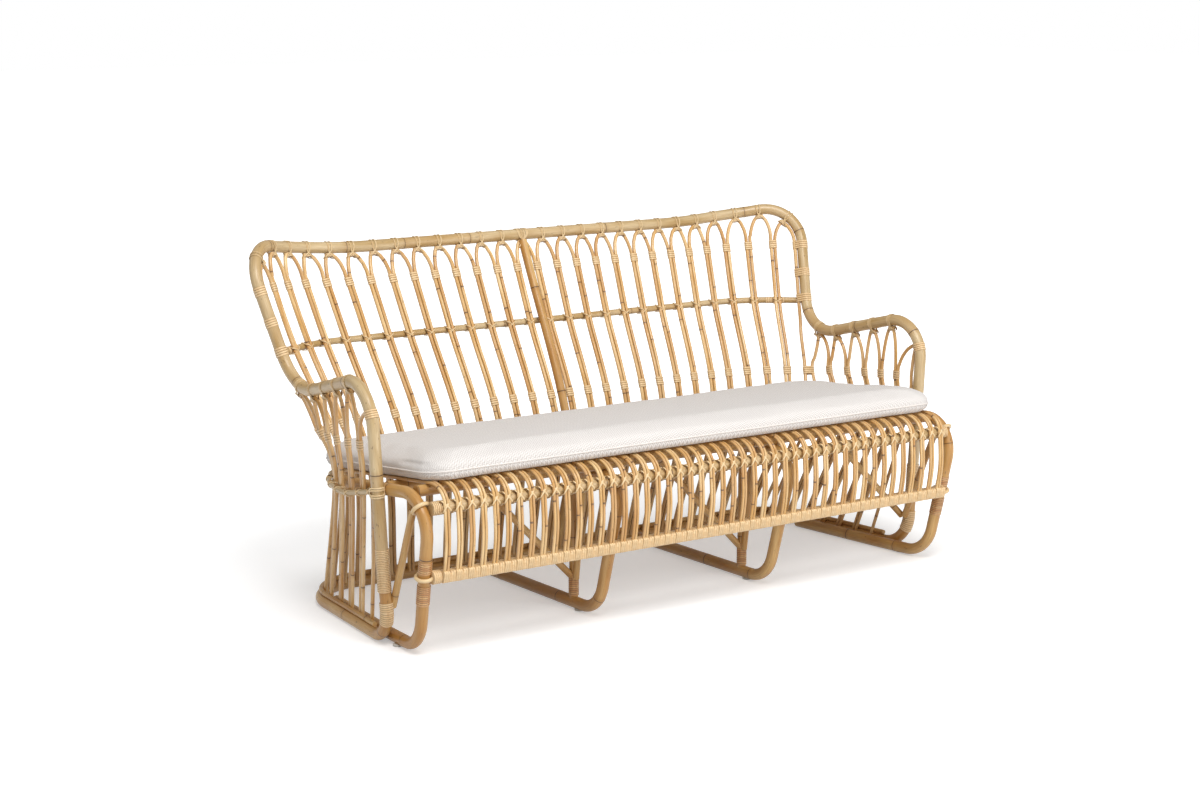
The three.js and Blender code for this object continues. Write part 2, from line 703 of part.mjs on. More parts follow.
// Centre post stands between the two middle pairs, its back flush with theirs
function centrePost() {
  const forward = (centrePostRadius - backRodRadius) / Math.cos(backRecline);
  const drop = poleRadius + fit + centrePostRadius * Math.sin(backRecline);
  const stations = [
    basePlan(0, rodInset + forward, rodFootHeight),
    waistPlan(0, forward, waistHeight),
    topRailPoint(0).addScaledVector(backUp, -drop).add(V(0, -forward, 0)),
  ];
  const rods = [-1, 1].map((side) => {
    const start = backPairCentre(side / 2, upperWrapHeight).add(V(-side * backRodRadius, 0, 0));
    const arch = archTo(start, tiePoint(0), side * tieMeet, V(1, 0, 0));
    return tube([start, ...arch], backRodRadius + fit, rodSides);
  });
  return rods.reduce((post, rod) => post.subtract(rod),
    tube(stations, centrePostRadius, thinSides).subtract(upperPoleCutter).subtract(basePoleCutter));
}

const armMeetShare = 0.3;
const thinEnd = basePlanAt(postFootBend);
const thinPolePath = round(basePlan, thinEnd, baseArcEnd, baseHalfBack, baseSteps, 0, thinPoleHeight);
const thinPoleCutter = tube(thinPolePath, thinRadius + fit, thinSides, baseOutward);

// Arm rods: pairs between ties under the arm, single rods at both ends
function armRods(side) {
  const frontWaist = waistArcEnd + waistSideStart - poleDiameter;
  const rearWaist = lastTie * backPitch(waistHeight) + 3 * backRodDiameter;
  const frontBase = basePlanAt(postFootBend + 4 * armRodDiameter);
  const rearBase = lastTie * backBasePitch + 3 * backRodDiameter;
  const along = V(0, 1, 0);
  const pieces = [];
  for (let i = 0; i <= armTieCount; i += 1) {
    const share = i / armTieCount;
    const single = i === 0 || i === armTieCount;
    const foot = basePlan(side * mix(frontBase, rearBase, share), rodInset, rodFootHeight);
    const waist = waistPlan(side * mix(frontWaist, rearWaist, share), 0, 0);
    waist.setZ(waistLevel(waist.y));
    const top = i > 0 ? armPoleAt(armTieDepth(i - 0.5), side) : armTie(0, side);
    const wrapHeight = armFrontHeight - mix(armWrapFrontDrop, armWrapRearDrop, share);
    const wrap = waist.clone().lerp(top, (wrapHeight - waist.z) / (top.z - waist.z));
    const path = [foot, waist, wrap];
    if (single) pieces.push(tube(path, armRodRadius, rodSides));
    else {
      const at = side * mix(frontWaist, rearWaist, share);
      const tangent = waistPlan(at - fit, 0, 0).sub(waistPlan(at + fit, 0, 0)).multiplyScalar(side);
      const facing = (p) => (p.z > waist.z ? along : tangent);
      pieces.push(sweep(path, pairSection(armRodRadius), facing));
      const up = wrap.clone().sub(waist).normalize();
      const middle = wrap.clone().addScaledVector(up, -wrapLength / 4);
      pieces.push(rodCollar(middle, up, along, armRodRadius));
    }
    [-1, 1].filter((hand) => (hand > 0 ? i < armTieCount : i > 0)).forEach((hand) => {
      const start = wrap.clone().addScaledVector(along, single ? 0 : hand * armRodRadius);
      const tie = armTie(hand > 0 ? i : i - 1, side);
      const arch = archTo(start, tie, -hand * armRodRadius * armMeetShare, along);
      pieces.push(tube([start, ...arch], armRodRadius, rodSides));
    });
  }
  return join(pieces).subtract(upperPoleCutter).subtract(basePoleCutter).subtract(thinPoleCutter)
    .subtract(tube(mirrored(endPath, side), poleRadius + fit));
}

const strutForwardShare = 0.5;
const strutUpShare = 0.9;

// Cross poles lie over the middle loops and stop inside the end loops
const rearCrossDepth = (() => {
  const z = crossHeight(backWaistDepth);
  return backLine(z) + backRodRadius - centrePostDiameter - crossRadius - 2 * fit;
})();
function crossPole(y, radius = crossRadius) {
  const reach = Math.max(0, y - waistSideStart);
  const inner = waistCornerRadius - backRodDiameter;
  const corner = waistHalfBack + Math.sqrt(inner ** 2 - reach ** 2) - poleDiameter - fit;
  const end = Math.min(endRunX - poleRadius - fit, y > waistSideStart ? corner : endRunX);
  const facing = V(0, Math.cos(seatSlope), -Math.sin(seatSlope));
  return tube([V(-end, y, crossHeight(y)), V(end, y, crossHeight(y))], radius, poleSides, () => facing);
}
const middleCrossCutter = crossPole(middleCrossDepth, crossRadius + fit);

// Posts on the middle loops: an upright, a leaning brace and a strut, bound at the foot
const footBindingLow = footCentre + poleRadius + fit;
function footBinding(x, y) {
  const ends = [footBindingLow, footBindingLow + braceWrapLength].map((z) => V(x, y, z));
  return tube(ends, postRadius + stripThickness);
}
function middlePost(side) {
  const x = side * midLoopHalfWidth;
  const y = middleCrossDepth;
  const post = tube([V(x, y, footCentre), V(x, y, midLoopHeight(y))], postRadius);
  const rise = crossHeight(y) - crossRadius / 2 - braceFootHeight;
  const lean = tube([V(x, y, braceFootHeight), V(x - rise, y, braceFootHeight + rise)],
    braceRadius, thinSides);
  const strutTop = y - postRadius - 2 * braceDiameter;
  const strut = tube([V(x, y - braceRadius, braceFootHeight), V(x, strutTop, midLoopHeight(strutTop))],
    braceRadius, thinSides);
  return midLoopCutters.reduce((whole, cutter) => whole.subtract(cutter),
    join([post, lean, strut, footBinding(x, y)]).subtract(middleCrossCutter));
}

// At each arm post a strut leans forward to the knee; one brace leans inward on one side only
function endBrace(side) {
  const bindTop = braceFootHeight + braceWrapLength / 2;
  const post = mirrored(basePath.slice(0, basePath.length / 2), side);
  const binding = tube(stretch(post, braceFootHeight - braceWrapLength / 4, bindTop), bandRadius);
  const y = middleCrossDepth;
  const innerX = pointAt(post, braceFootHeight).x - side * poleRadius;
  const rise = crossHeight(y) - crossRadius / 2 - bindTop;
  const brace = tube([V(innerX, y / 3, bindTop - braceRadius),
    V(innerX - side * rise, y, bindTop + rise)], braceRadius, thinSides);
  const seatRun = V(endRunX, 0, endLoopHeight(0));
  const knee = V(endRunX, -endKneeReach, endLoopHeight(-endKneeReach));
  const centre = bendCentre(V(endRunX, -endFootReach, footCentre), knee, seatRun, endKneeBend);
  const strut = tube([V(innerX, 0, bindTop - braceRadius),
    V(side * centre.x, centre.y - endKneeBend * strutForwardShare,
      centre.z + endKneeBend * strutUpShare)], braceRadius, thinSides);
  return join(side > 0 ? [binding, brace, strut] : [binding, strut])
    .subtract(basePoleCutter)
    .subtract(middleCrossCutter)
    .subtract(tube(mirrored(endPath, side), bandRadius + fit + fit));
}

// Glides cradle the feet and carry the sofa in front
function glide(x, y, path) {
  const geometry = new THREE.CylinderGeometry(glideDiameter / 2, glideDiameter / 2, glideHeight, poleSides);
  geometry.rotateX(Math.PI / 2);
  geometry.translate(x, y, glideHeight / 2);
  return solid(geometry).subtract(tube(path, poleRadius + fit));
}

// Cushion: a crowned pad drawn in along its seam, rounded to the corners of the back
function cushion() {
  const halfDepth = cushionDepth / 2;
  const outline = new THREE.Shape();
  const front = -halfDepth;
  const half = cushionHalfLength;
  const nearRadius = cushionFrontCorner;
  const farRadius = cushionBackCorner;
  outline.moveTo(-half + nearRadius, front);
  outline.lineTo(half - nearRadius, front);
  outline.absarc(half - nearRadius, front + nearRadius, nearRadius, -Math.PI / 2, 0);
  outline.absarc(half - farRadius, halfDepth - farRadius, farRadius, 0, Math.PI / 2);
  outline.absarc(farRadius - half, halfDepth - farRadius, farRadius, Math.PI / 2, Math.PI);
  outline.absarc(nearRadius - half, front + nearRadius, nearRadius, Math.PI, 1.5 * Math.PI);
  const count = 48;
  const rim = outline.getSpacedPoints(count).slice(0, count);
  const seam = cushionHeight / 2;
  const edgeShare = 0.62;
  const profile = [
    { inset: cushionHeight, height: 0 },
    { inset: seam * edgeShare, height: fit },
    { inset: seam / 4, height: seam * (1 - edgeShare) },
    { inset: 0, height: seam * edgeShare },
    { inset: cushionDrawIn / 2, height: seam },
    { inset: 0, height: 2 * seam - seam * edgeShare },
    { inset: seam / 4, height: cushionHeight - seam * (1 - edgeShare) },
    { inset: seam, height: cushionHeight - fit },
    { inset: 2 * cushionHeight, height: cushionHeight + cushionCrown * edgeShare },
    { inset: halfDepth - cushionHeight, height: cushionHeight + cushionCrown },
  ];
  const positions = [];
  const ring = ({ inset, height }) => rim.map((p) => {
    const x = p.x * (1 - inset / half);
    const y = p.y * (1 - inset / halfDepth);
    return V(x, y, height);
  });
  const face = (a, b, c) => positions.push(a.x, a.y, a.z, b.x, b.y, b.z, c.x, c.y, c.z);
  const rings = profile.map(ring);
  for (let r = 1; r < rings.length; r += 1) {
    for (let i = 0; i < count; i += 1) {
      const j = (i + 1) % count;
      face(rings[r - 1][i], rings[r - 1][j], rings[r][j]);
      face(rings[r - 1][i], rings[r][j], rings[r][i]);
    }
  }
  const bottom = V(0, 0, 0);
  const top = V(0, 0, cushionHeight + cushionCrown);
  for (let i = 0; i < count; i += 1) {
    const j = (i + 1) % count;
    face(bottom, rings[0][j], rings[0][i]);
    face(rings[rings.length - 1][i], rings[rings.length - 1][j], top);
  }
  const geometry = new THREE.BufferGeometry();
  geometry.setAttribute('position', new THREE.Float32BufferAttribute(positions, 3));
  geometry.setAttribute('normal', new THREE.Float32BufferAttribute(positions, 3));
  geometry.setAttribute('uv', new THREE.Float32BufferAttribute(positions.map(() => 0), 2));
  const middle = halfDepth - cushionFrontReach;
  geometry.rotateX(-seatSlope);
  const lift = seatStep(seatRodRadius + fit);
  geometry.translate(0, middle, seatRodHeight(middle) + lift);
  return solid(geometry);
}

const caneColour = 0xd9b27c;
const barkColour = 0xc8a468;
const stripColour = 0xe6cfa0;
const materials = {
  pole: new THREE.MeshStandardMaterial({ color: barkColour, roughness: 0.5, metalness: 0 }),
  rod: new THREE.MeshStandardMaterial({ color: caneColour, roughness: 0.55, metalness: 0 }),
  rail: new THREE.MeshStandardMaterial({ color: stripColour, roughness: 0.6, metalness: 0 }),
  fabric: new THREE.MeshStandardMaterial({ color: 0xe4deda, roughness: 0.95, metalness: 0 }),
  glide: new THREE.MeshStandardMaterial({ color: 0xd8d6d0, roughness: 0.5, metalness: 0 }),
};

const sofa = new THREE.Group();
function add(name, piece, material) {
  const { numProp, vertProperties, triVerts } = piece.getMesh();
  const geometry = new THREE.BufferGeometry();
  geometry.setAttribute('position', new THREE.BufferAttribute(vertProperties, numProp));
  geometry.setIndex(new THREE.BufferAttribute(triVerts, 1));
  geometry.computeVertexNormals();
  const mesh = new THREE.Mesh(geometry, material);
  mesh.name = name;
  sofa.add(mesh);
}

const hands = [['left', -1], ['right', 1]];

add('upper_frame_pole', tube(upperPath, poleRadius, poleSides, upperOutward), materials.pole);
const splices = [1, -1].map((side) => {
  const low = spliceHeight - spliceWrapLength / 2;
  const centre = [low, low + spliceWrapLength].map((z) => V(side * postX(z), 0, z));
  return tube(centre, poleRadius + stripThickness);
});
const basePiece = join([tube(basePath, poleRadius, poleSides, baseOutward), ...splices]);
add('base_pole', basePiece.subtract(upperPoleCutter), materials.pole);
add('base_thin_pole', tube(thinPolePath, thinRadius, thinSides, baseOutward)
  .subtract(basePoleCutter), materials.pole);
const ringEnd = waistArcEnd + waistSideStart - poleRadius / 2;
const ringPath = round(waistPlan, ringEnd, waistArcEnd, waistHalfBack, waistSteps, -ringOutset, 0)
  .map((p) => p.setZ(waistLevel(p.y)));
add('waist_ring', tube(ringPath, thinRadius, thinSides, () => V(0, 0, 1))
  .subtract(upperPoleCutter), materials.pole);

hands.forEach(([hand, side]) => {
  add(`end_leg_loop_${hand}`, tube(mirrored(endPath, side), poleRadius), materials.pole);
  add(`middle_leg_loop_${hand}`, tube(mirrored(midLoop(), side), poleRadius), materials.pole);
  add(`middle_post_${hand}`, middlePost(side), materials.pole);
  add(`end_brace_${hand}`, endBrace(side), materials.pole);
  add(`arm_rods_${hand}`, armRods(side), materials.rod);
  add(`end_glide_${hand}`, glide(side * endLoopHalfWidth, 0, mirrored(endPath, side)), materials.glide);
  add(`middle_glide_${hand}`, glide(side * midLoopHalfWidth, glideDiameter / 2, mirrored(midLoop(), side)),
    materials.glide);
});

add('front_seat_rail', hoopedRail(frontRailDepth, frontRailHeight, frontRailEnd, poleRadius), materials.rail);
add('front_bottom_rail',
  hoopedRail(bottomRailDepth, bottomRailHeight, bottomRailEnd, bottomRailRadius), materials.rail);

add('front_cross_pole', crossPole(frontCrossDepth), materials.pole);
add('middle_cross_pole', crossPole(middleCrossDepth), materials.pole);
add('rear_cross_pole', crossPole(rearCrossDepth), materials.pole);
add('mid_back_rail', midRail(), materials.pole);
add('centre_back_post', centrePost(), materials.pole);

for (let i = 0; i < backPairCount; i += 1) {
  const number = String(i + 1).padStart(2, '0');
  add(`back_rod_pair_${number}`, backPair(i + 0.5 - backPairCount / 2), materials.rod);
}

let firstPair = 0;
for (let group = 0; group < seatGroups; group += 1) {
  const next = Math.round(((group + 1) * seatPairCount) / seatGroups);
  add(`seat_rods_${group + 1}`, seatRodGroup(firstPair, next - firstPair), materials.rod);
  firstPair = next;
}
add('seat_cushion', cushion(), materials.fabric);

// The origin is the middle of the footprint, on the floor
const bounds = new THREE.Box3().setFromObject(sofa);
const middle = bounds.getCenter(V(0, 0, 0));
sofa.position.set(-middle.x, -middle.y, -bounds.min.z);
sofa.updateMatrixWorld(true);

export default sofa;
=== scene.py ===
import bpy
import math
import random
from bisect import bisect_right
from mathutils import Matrix, Vector, noise

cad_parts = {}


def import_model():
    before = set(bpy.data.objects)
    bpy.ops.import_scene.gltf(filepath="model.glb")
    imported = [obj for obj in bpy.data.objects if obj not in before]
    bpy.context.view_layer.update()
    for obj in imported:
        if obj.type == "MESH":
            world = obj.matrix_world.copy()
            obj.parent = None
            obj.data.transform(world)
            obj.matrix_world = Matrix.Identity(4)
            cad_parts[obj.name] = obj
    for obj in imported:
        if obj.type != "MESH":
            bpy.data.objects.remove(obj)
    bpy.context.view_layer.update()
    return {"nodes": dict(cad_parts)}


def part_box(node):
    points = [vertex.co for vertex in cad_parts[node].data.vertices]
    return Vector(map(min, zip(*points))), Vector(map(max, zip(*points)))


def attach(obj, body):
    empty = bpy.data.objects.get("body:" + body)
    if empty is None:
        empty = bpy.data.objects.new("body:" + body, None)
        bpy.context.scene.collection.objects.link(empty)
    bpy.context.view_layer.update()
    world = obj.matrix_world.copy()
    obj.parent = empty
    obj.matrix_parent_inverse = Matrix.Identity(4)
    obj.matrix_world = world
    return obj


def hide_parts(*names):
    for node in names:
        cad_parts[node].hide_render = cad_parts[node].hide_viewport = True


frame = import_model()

print("frame loaded:", len(frame["nodes"]), "nodes")

# Lines are worked out in millimetres with y = 0 at the arm posts, and placed() takes them to the
# frame's metres, where the middle of the footprint is the origin
mm = 0.001
size = {
    "pole": 15.5, "cross": 14.0, "backRod": 5.25, "seatRod": 4.0, "fit": 0.3,
    "railHeight": 864, "waistHeight": 350, "valley": 543, "armFront": 655, "midRail": 637,
    "frontRail": 364, "bottomRail": 201, "seatFront": 394, "splice": 190,
    "armHalf": 858, "postLow": 821, "postHigh": 855, "baseBack": 525, "baseHalfBack": 629,
    "baseRadius": 150, "baseInset": 157, "backWaist": 462, "backTop": 690, "waistHalfBack": 523,
    "waistRadius": 310, "sideStart": 152, "ringRise": 32, "wingLow": 575, "wingTop": 620,
    "wingCurve": 240, "cornerHalf": 889, "cornerRise": 45, "riseStart": 480, "topPitch": 66,
    "midLoopX": 267, "midFoot": -73, "frontCross": -98, "midCross": 36, "seatSlope": 6,
}
waistHeight, midHeight, railHeight = size["waistHeight"], size["midRail"], size["railHeight"]
crossLow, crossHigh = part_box("middle_cross_pole")
shiftY = (crossLow.y + crossHigh.y) / 2 - size["midCross"] * mm


def point(x, y, z):
    return Vector((x, y, z))


def mix(a, b, share):
    return a + (b - a) * share


def smoothStep(x, low, high):
    t = min(1, max(0, (x - low) / (high - low)))
    return t * t * (3 - 2 * t)


def flip(points, side):
    return [point(p.x * side, p.y, p.z) for p in points]


def placed(points):
    return [point(p.x * mm, p.y * mm + shiftY, p.z * mm) for p in points]


def lengthsOf(stations):
    along = [0]
    for a, b in zip(stations, stations[1:]):
        along.append(along[-1] + (b - a).length)
    return along


def valueAlong(values, along, far):
    i = min(bisect_right(along, far) - 1, len(along) - 2)
    return mix(values[i], values[i + 1], (far - along[i]) / (along[i + 1] - along[i]))


# Joints of the cane fall at uneven steps; each gets stations of its own for its low swelling
caneDraws = random.Random(11)
canesDrawn = [0]
jointReach = 3.5
jointSwell = 0.04


def jointed(stations, gap, toward):
    along = lengthsOf(stations)
    joints = [-caneDraws.uniform(0.1, 0.9) * gap * mm]
    while joints[-1] < along[-1]:
        joints.append(joints[-1] + caneDraws.uniform(0.7, 1.3) * gap * mm)
    spots = list(along)
    for joint in joints:
        for step in (-jointReach, 0, jointReach):
            far = joint + step * mm
            if 0 < far < along[-1] and min(abs(far - spot) for spot in spots) > 1.5 * mm:
                spots.append(far)
    spots.sort()
    phases, swell = [], []
    for far in spots:
        i = bisect_right(joints, far) - 1
        phases.append(40 * canesDrawn[0] + i + (far - joints[i]) / (joints[i + 1] - joints[i]))
        near = min(abs(far - joint) for joint in joints) / (jointReach * mm)
        swell.append(1 + jointSwell * math.exp(-near * near))
    if toward:
        toward = [valueAlong(toward, along, far) for far in spots]
    return [valueAlong(stations, along, far) for far in spots], phases, swell, toward


def choose(*pieces):
    bpy.ops.object.select_all(action="DESELECT")
    for piece in pieces:
        piece.select_set(True)
    if pieces:
        bpy.context.view_layer.objects.active = pieces[0]


def editAll():
    bpy.ops.object.mode_set(mode="EDIT")
    bpy.ops.mesh.select_all(action="SELECT")


# Values at the points of a mesh, one or three for each, that the finishes read
def record(mesh, name, values):
    kind, field = "FLOAT_VECTOR", "vector"
    if len(values) == len(mesh.vertices):
        kind, field = "FLOAT", "value"
    mesh.attributes.new(name, kind, "POINT").data.foreach_set(field, values)


# One length of cane or strip, drawn as a bevelled curve. Its points carry where they lie along it
def drawCane(stations, radius, sides=12, gap=0, closed=False, width=0, upright=False,
             swell=None, marks=None, toward=None):
    canesDrawn[0] += 1
    phases = [0.5] * len(stations)
    if gap:
        stations, phases, swell, toward = jointed(stations, gap, toward)
    choose()
    bpy.ops.curve.primitive_bezier_curve_add()
    line = bpy.context.object.data
    line.splines.clear()
    run = line.splines.new("POLY")
    run.points.add(len(stations) - 1)
    for i, spot in enumerate(stations):
        run.points[i].co = (*spot, 1)
        run.points[i].radius = swell[i] if swell else 1
    run.use_cyclic_u = closed
    line.dimensions = "3D"
    line.bevel_depth = radius * mm
    line.bevel_resolution = (sides - 4) // 2
    line.extrude = width / 2 * mm
    line.twist_mode = "Z_UP" if upright else "MINIMUM"
    line.use_fill_caps = not closed
    bpy.ops.object.convert(target="MESH")
    piece = bpy.context.object
    mesh = piece.data
    count = len(stations)
    along = marks or [1.37 * canesDrawn[0] + far for far in lengthsOf(stations)]
    around = len(mesh.vertices) // (count if closed else count + 2)
    reach = (radius + width / 2) * mm
    grain, joint, hidden = [], [], []
    for index, vertex in enumerate(mesh.vertices):
        ring, j = divmod(index, around)
        if not closed:
            ring = (count - 1, 0)[ring] if ring < 2 else ring - 2
        ring = min(ring, count - 1)
        turn = 2 * math.pi * j / around
        grain += [reach * math.cos(turn), reach * math.sin(turn), along[ring]]
        joint.append(phases[ring])
        # painted shade: a point takes more of it the more it faces the neighbouring cane
        out = (vertex.co - stations[ring]).normalized()
        hidden.append(max(0, out.dot(toward[ring])) if toward else 0)
    record(mesh, "grain", grain)
    record(mesh, "joint", joint)
    record(mesh, "hidden", hidden)
    return piece


def joined(pieces, name):
    choose(*pieces)
    if len(pieces) > 1:
        bpy.ops.object.join()
    whole = bpy.context.object
    whole.name = whole.data.name = name
    editAll()
    bpy.ops.mesh.remove_doubles(threshold=1e-6)
    bpy.ops.mesh.normals_make_consistent(inside=False)
    bpy.ops.object.mode_set(mode="OBJECT")
    bpy.ops.object.shade_smooth_by_angle(angle=math.radians(55))
    return whole


# A pattern is made round the z axis at the origin; facing() lays z along a cane and x outward
def facing(origin, along, outward):
    z = along.normalized()
    x = (outward - z * outward.dot(z)).normalized()
    turn = Matrix((x, z.cross(x), z)).transposed().to_4x4()
    return Matrix.Translation(placed([origin])[0]) @ turn


def copies(pattern, places):
    made = []
    for place in places:
        choose(pattern)
        bpy.ops.object.duplicate()
        bpy.context.object.data.transform(place)
        made.append(bpy.context.object)
    return made


def discard(*patterns):
    choose(*patterns)
    bpy.ops.object.delete()


def dress(piece, slot, finish, *nodes):
    piece.data.materials.clear()
    piece.data.materials.append(finish)
    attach(piece, "frame")
    if nodes:
        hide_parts(*nodes)


def assemble(pieces, name, slot, finish, *nodes):
    dress(joined(pieces, name), slot, finish, *nodes)


# A smooth line through a few points
def through(points, step=12, closed=False):
    line = []
    count = len(points)
    for i in range(count if closed else count - 1):
        a, b = points[i], points[(i + 1) % count]
        before = points[i - 1] if closed or i > 0 else a * 2 - b
        after = points[(i + 2) % count] if closed or i + 2 < count else b * 2 - a
        parts = max(1, round((b - a).length / step))
        for k in range(parts):
            t = k / parts
            line.append(0.5 * (2 * a + (b - before) * t + (2 * before - 5 * a + 4 * b - after) * t * t
                               + (3 * a - before - 3 * b + after) * t ** 3))
    return line if closed else [*line, points[-1]]


def bendCentre(before, corner, after, radius):
    back, on = (before - corner).normalized(), (after - corner).normalized()
    return corner + (back + on).normalized() * (radius / math.sin(back.angle(on) / 2))


# Straight runs joined by round bends; a corner is (point, radius)
def bent(corners, step=11):
    stations = []
    for i, (corner, radius) in enumerate(corners):
        if not radius:
            stations.append(corner.copy())
            continue
        before, after = corners[i - 1][0], corners[i + 1][0]
        centre = bendCentre(before, corner, after, radius)
        back, on = (before - corner).normalized(), (after - corner).normalized()
        run = radius / math.tan(back.angle(on) / 2)
        first, final = corner + back * run - centre, corner + on * run - centre
        turn = first.angle(final)
        steps = max(3, math.ceil(radius * turn / step))
        for k in range(steps + 1):
            share = k / steps
            stations.append(centre + first * (math.sin((1 - share) * turn) / math.sin(turn))
                            + final * (math.sin(share * turn) / math.sin(turn)))
    return stations


# Where a line first reaches a height, and which way it runs there
def atHeight(line, z):
    for a, b in zip(line, line[1:]):
        if min(a.z, b.z) <= z <= max(a.z, b.z) and a.z != b.z:
            return a.lerp(b, (z - a.z) / (b.z - a.z)), (b - a).normalized()


def stretch(line, low, high):
    between = [p for p in line if low < p.z < high]
    ends = [atHeight(line, low)[0], atHeight(line, high)[0]]
    if line[0].z > line[-1].z:
        ends.reverse()
    return [ends[0], *between, ends[1]]


# A close winding: every turn of strip is a low ridge, and marks count the turns for the finish
turnMark = 6 * mm
ridge = ((0.04, 1), (0.2, 0.12), (0.5, 0), (0.8, 0.12))


def winding(stations, radius, pitch=5.0, groove=1.1, sides=20):
    along = lengthsOf(stations)
    turns = max(1, round(along[-1] / pitch))
    line, swell, marks = [], [], []
    for turn in range(turns):
        for share, depth in ridge:
            line.append(valueAlong(stations, along, (turn + share) / turns * along[-1]))
            swell.append((radius - groove * depth) / radius)
            marks.append((turn + share) * turnMark)
    line.append(stations[-1].copy())
    swell.append((radius - groove) / radius)
    marks.append(turns * turnMark)
    return drawCane(placed(line), radius, sides, swell=swell, marks=marks)


# The line drawn tight round canes that lie side by side; a cane is (x, y, radius)
def tightLine(canes, lift, sides=20):
    line = []
    for k in range(sides):
        a = 2 * math.pi * k / sides
        x, y, r = max(canes, key=lambda c: c[0] * math.cos(a) + c[1] * math.sin(a) + c[2])
        line.append((x + math.cos(a) * (r + lift), y + math.sin(a) * (r + lift)))
    return line


# A sleeve is a disc extruded up ring by ring; each ring is then drawn to its own line. Where it is
# sunk below its line the finish is darkened with painted shade
def sleeve(rings, sunk=None):
    sides = len(rings[0][2])
    choose()
    bpy.ops.mesh.primitive_circle_add(vertices=sides, radius=mm, fill_type="NGON", location=(0, 0, 0))
    editAll()
    for step in range(len(rings) - 1):
        bpy.ops.mesh.extrude_region_move(TRANSFORM_OT_translate={"value": (0, 0, mm)})
    bpy.ops.object.mode_set(mode="OBJECT")
    piece = bpy.context.object
    grain, hidden = [], []
    for vertex in piece.data.vertices:
        ring = round(vertex.co.z / mm)
        z, turn, line = rings[ring]
        k = round(math.atan2(vertex.co.y, vertex.co.x) / (2 * math.pi) * sides) % sides
        x, y = line[k]
        vertex.co = (x * mm, y * mm, z * mm)
        grain += [x * mm, y * mm, turn * turnMark]
        hidden.append(sunk.get((ring, k), 0) if sunk else 0)
    record(piece.data, "grain", grain)
    record(piece.data, "hidden", hidden)
    return piece


# Strip lashed round two or three canes
def lashing(canes, turns=4, pitch=6.0, lift=1.4, groove=1.1, sides=20):
    rings = []
    for turn in range(turns):
        for share, depth in ridge:
            z = (turn + share - turns / 2) * pitch
            rings.append((z, turn + share, tightLine(canes, lift - groove * depth, sides)))
    rings.append((turns / 2 * pitch, turns, tightLine(canes, lift - groove, sides)))
    return sleeve(rings)


# A colour is written in sRGB and rendered in linear light
def toLinear(code):
    parts = [int(code[i:i + 2], 16) / 255 for i in (1, 3, 5)]
    return (*[c / 12.92 if c <= 0.04045 else ((c + 0.055) / 1.055) ** 2.4 for c in parts], 1)


# Adds a node and gives one of its outputs. An input is named, or in3 for socket 3, and takes a value
# or a link
def addNode(tree, kind, settings=None, out=0, **inputs):
    node = tree.nodes.new("ShaderNode" + kind)
    for key, value in (settings or {}).items():
        setattr(node, key, value)
    for key, value in inputs.items():
        numbered = key.startswith("in") and key[2:].isdigit()
        socket = node.inputs[int(key[2:])] if numbered else node.inputs[key.replace("_", " ")]
        if isinstance(value, bpy.types.NodeSocket):
            tree.links.new(value, socket)
        else:
            socket.default_value = value
    return node.outputs[out]


def newFinish(name, roughness, specular=0.5, coat=0.0, coatRoughness=0.2, sheen=0.0):
    finish = bpy.data.materials.new(name)
    finish.use_nodes = True
    tree = finish.node_tree
    shader = tree.nodes["Principled BSDF"]
    values = {"Roughness": roughness, "Specular IOR Level": specular, "Coat Weight": coat,
              "Coat Roughness": coatRoughness, "Sheen Weight": sheen}
    for key, value in values.items():
        shader.inputs[key].default_value = value
    return finish, tree, shader


def wire(tree, shader, **links):
    for key, output in links.items():
        tree.links.new(output, shader.inputs[key.replace("_", " ")])


blend, soft = {"data_type": "RGBA"}, {"interpolation_type": "SMOOTHSTEP"}
# 5c3a17 is the colour of painted shade where canes touch and in the bottom rail's slits
skinSizes = {"fibre": (3.0, 0.6, 0.35, 0.7), "patch": (2.0, 0.5, 0.36, 0.66), "hidden": "#5c3a17",
             "speck": "#4a2f18", "haloShare": 0.45, "haloReach": 8, "relief": 0.0006}
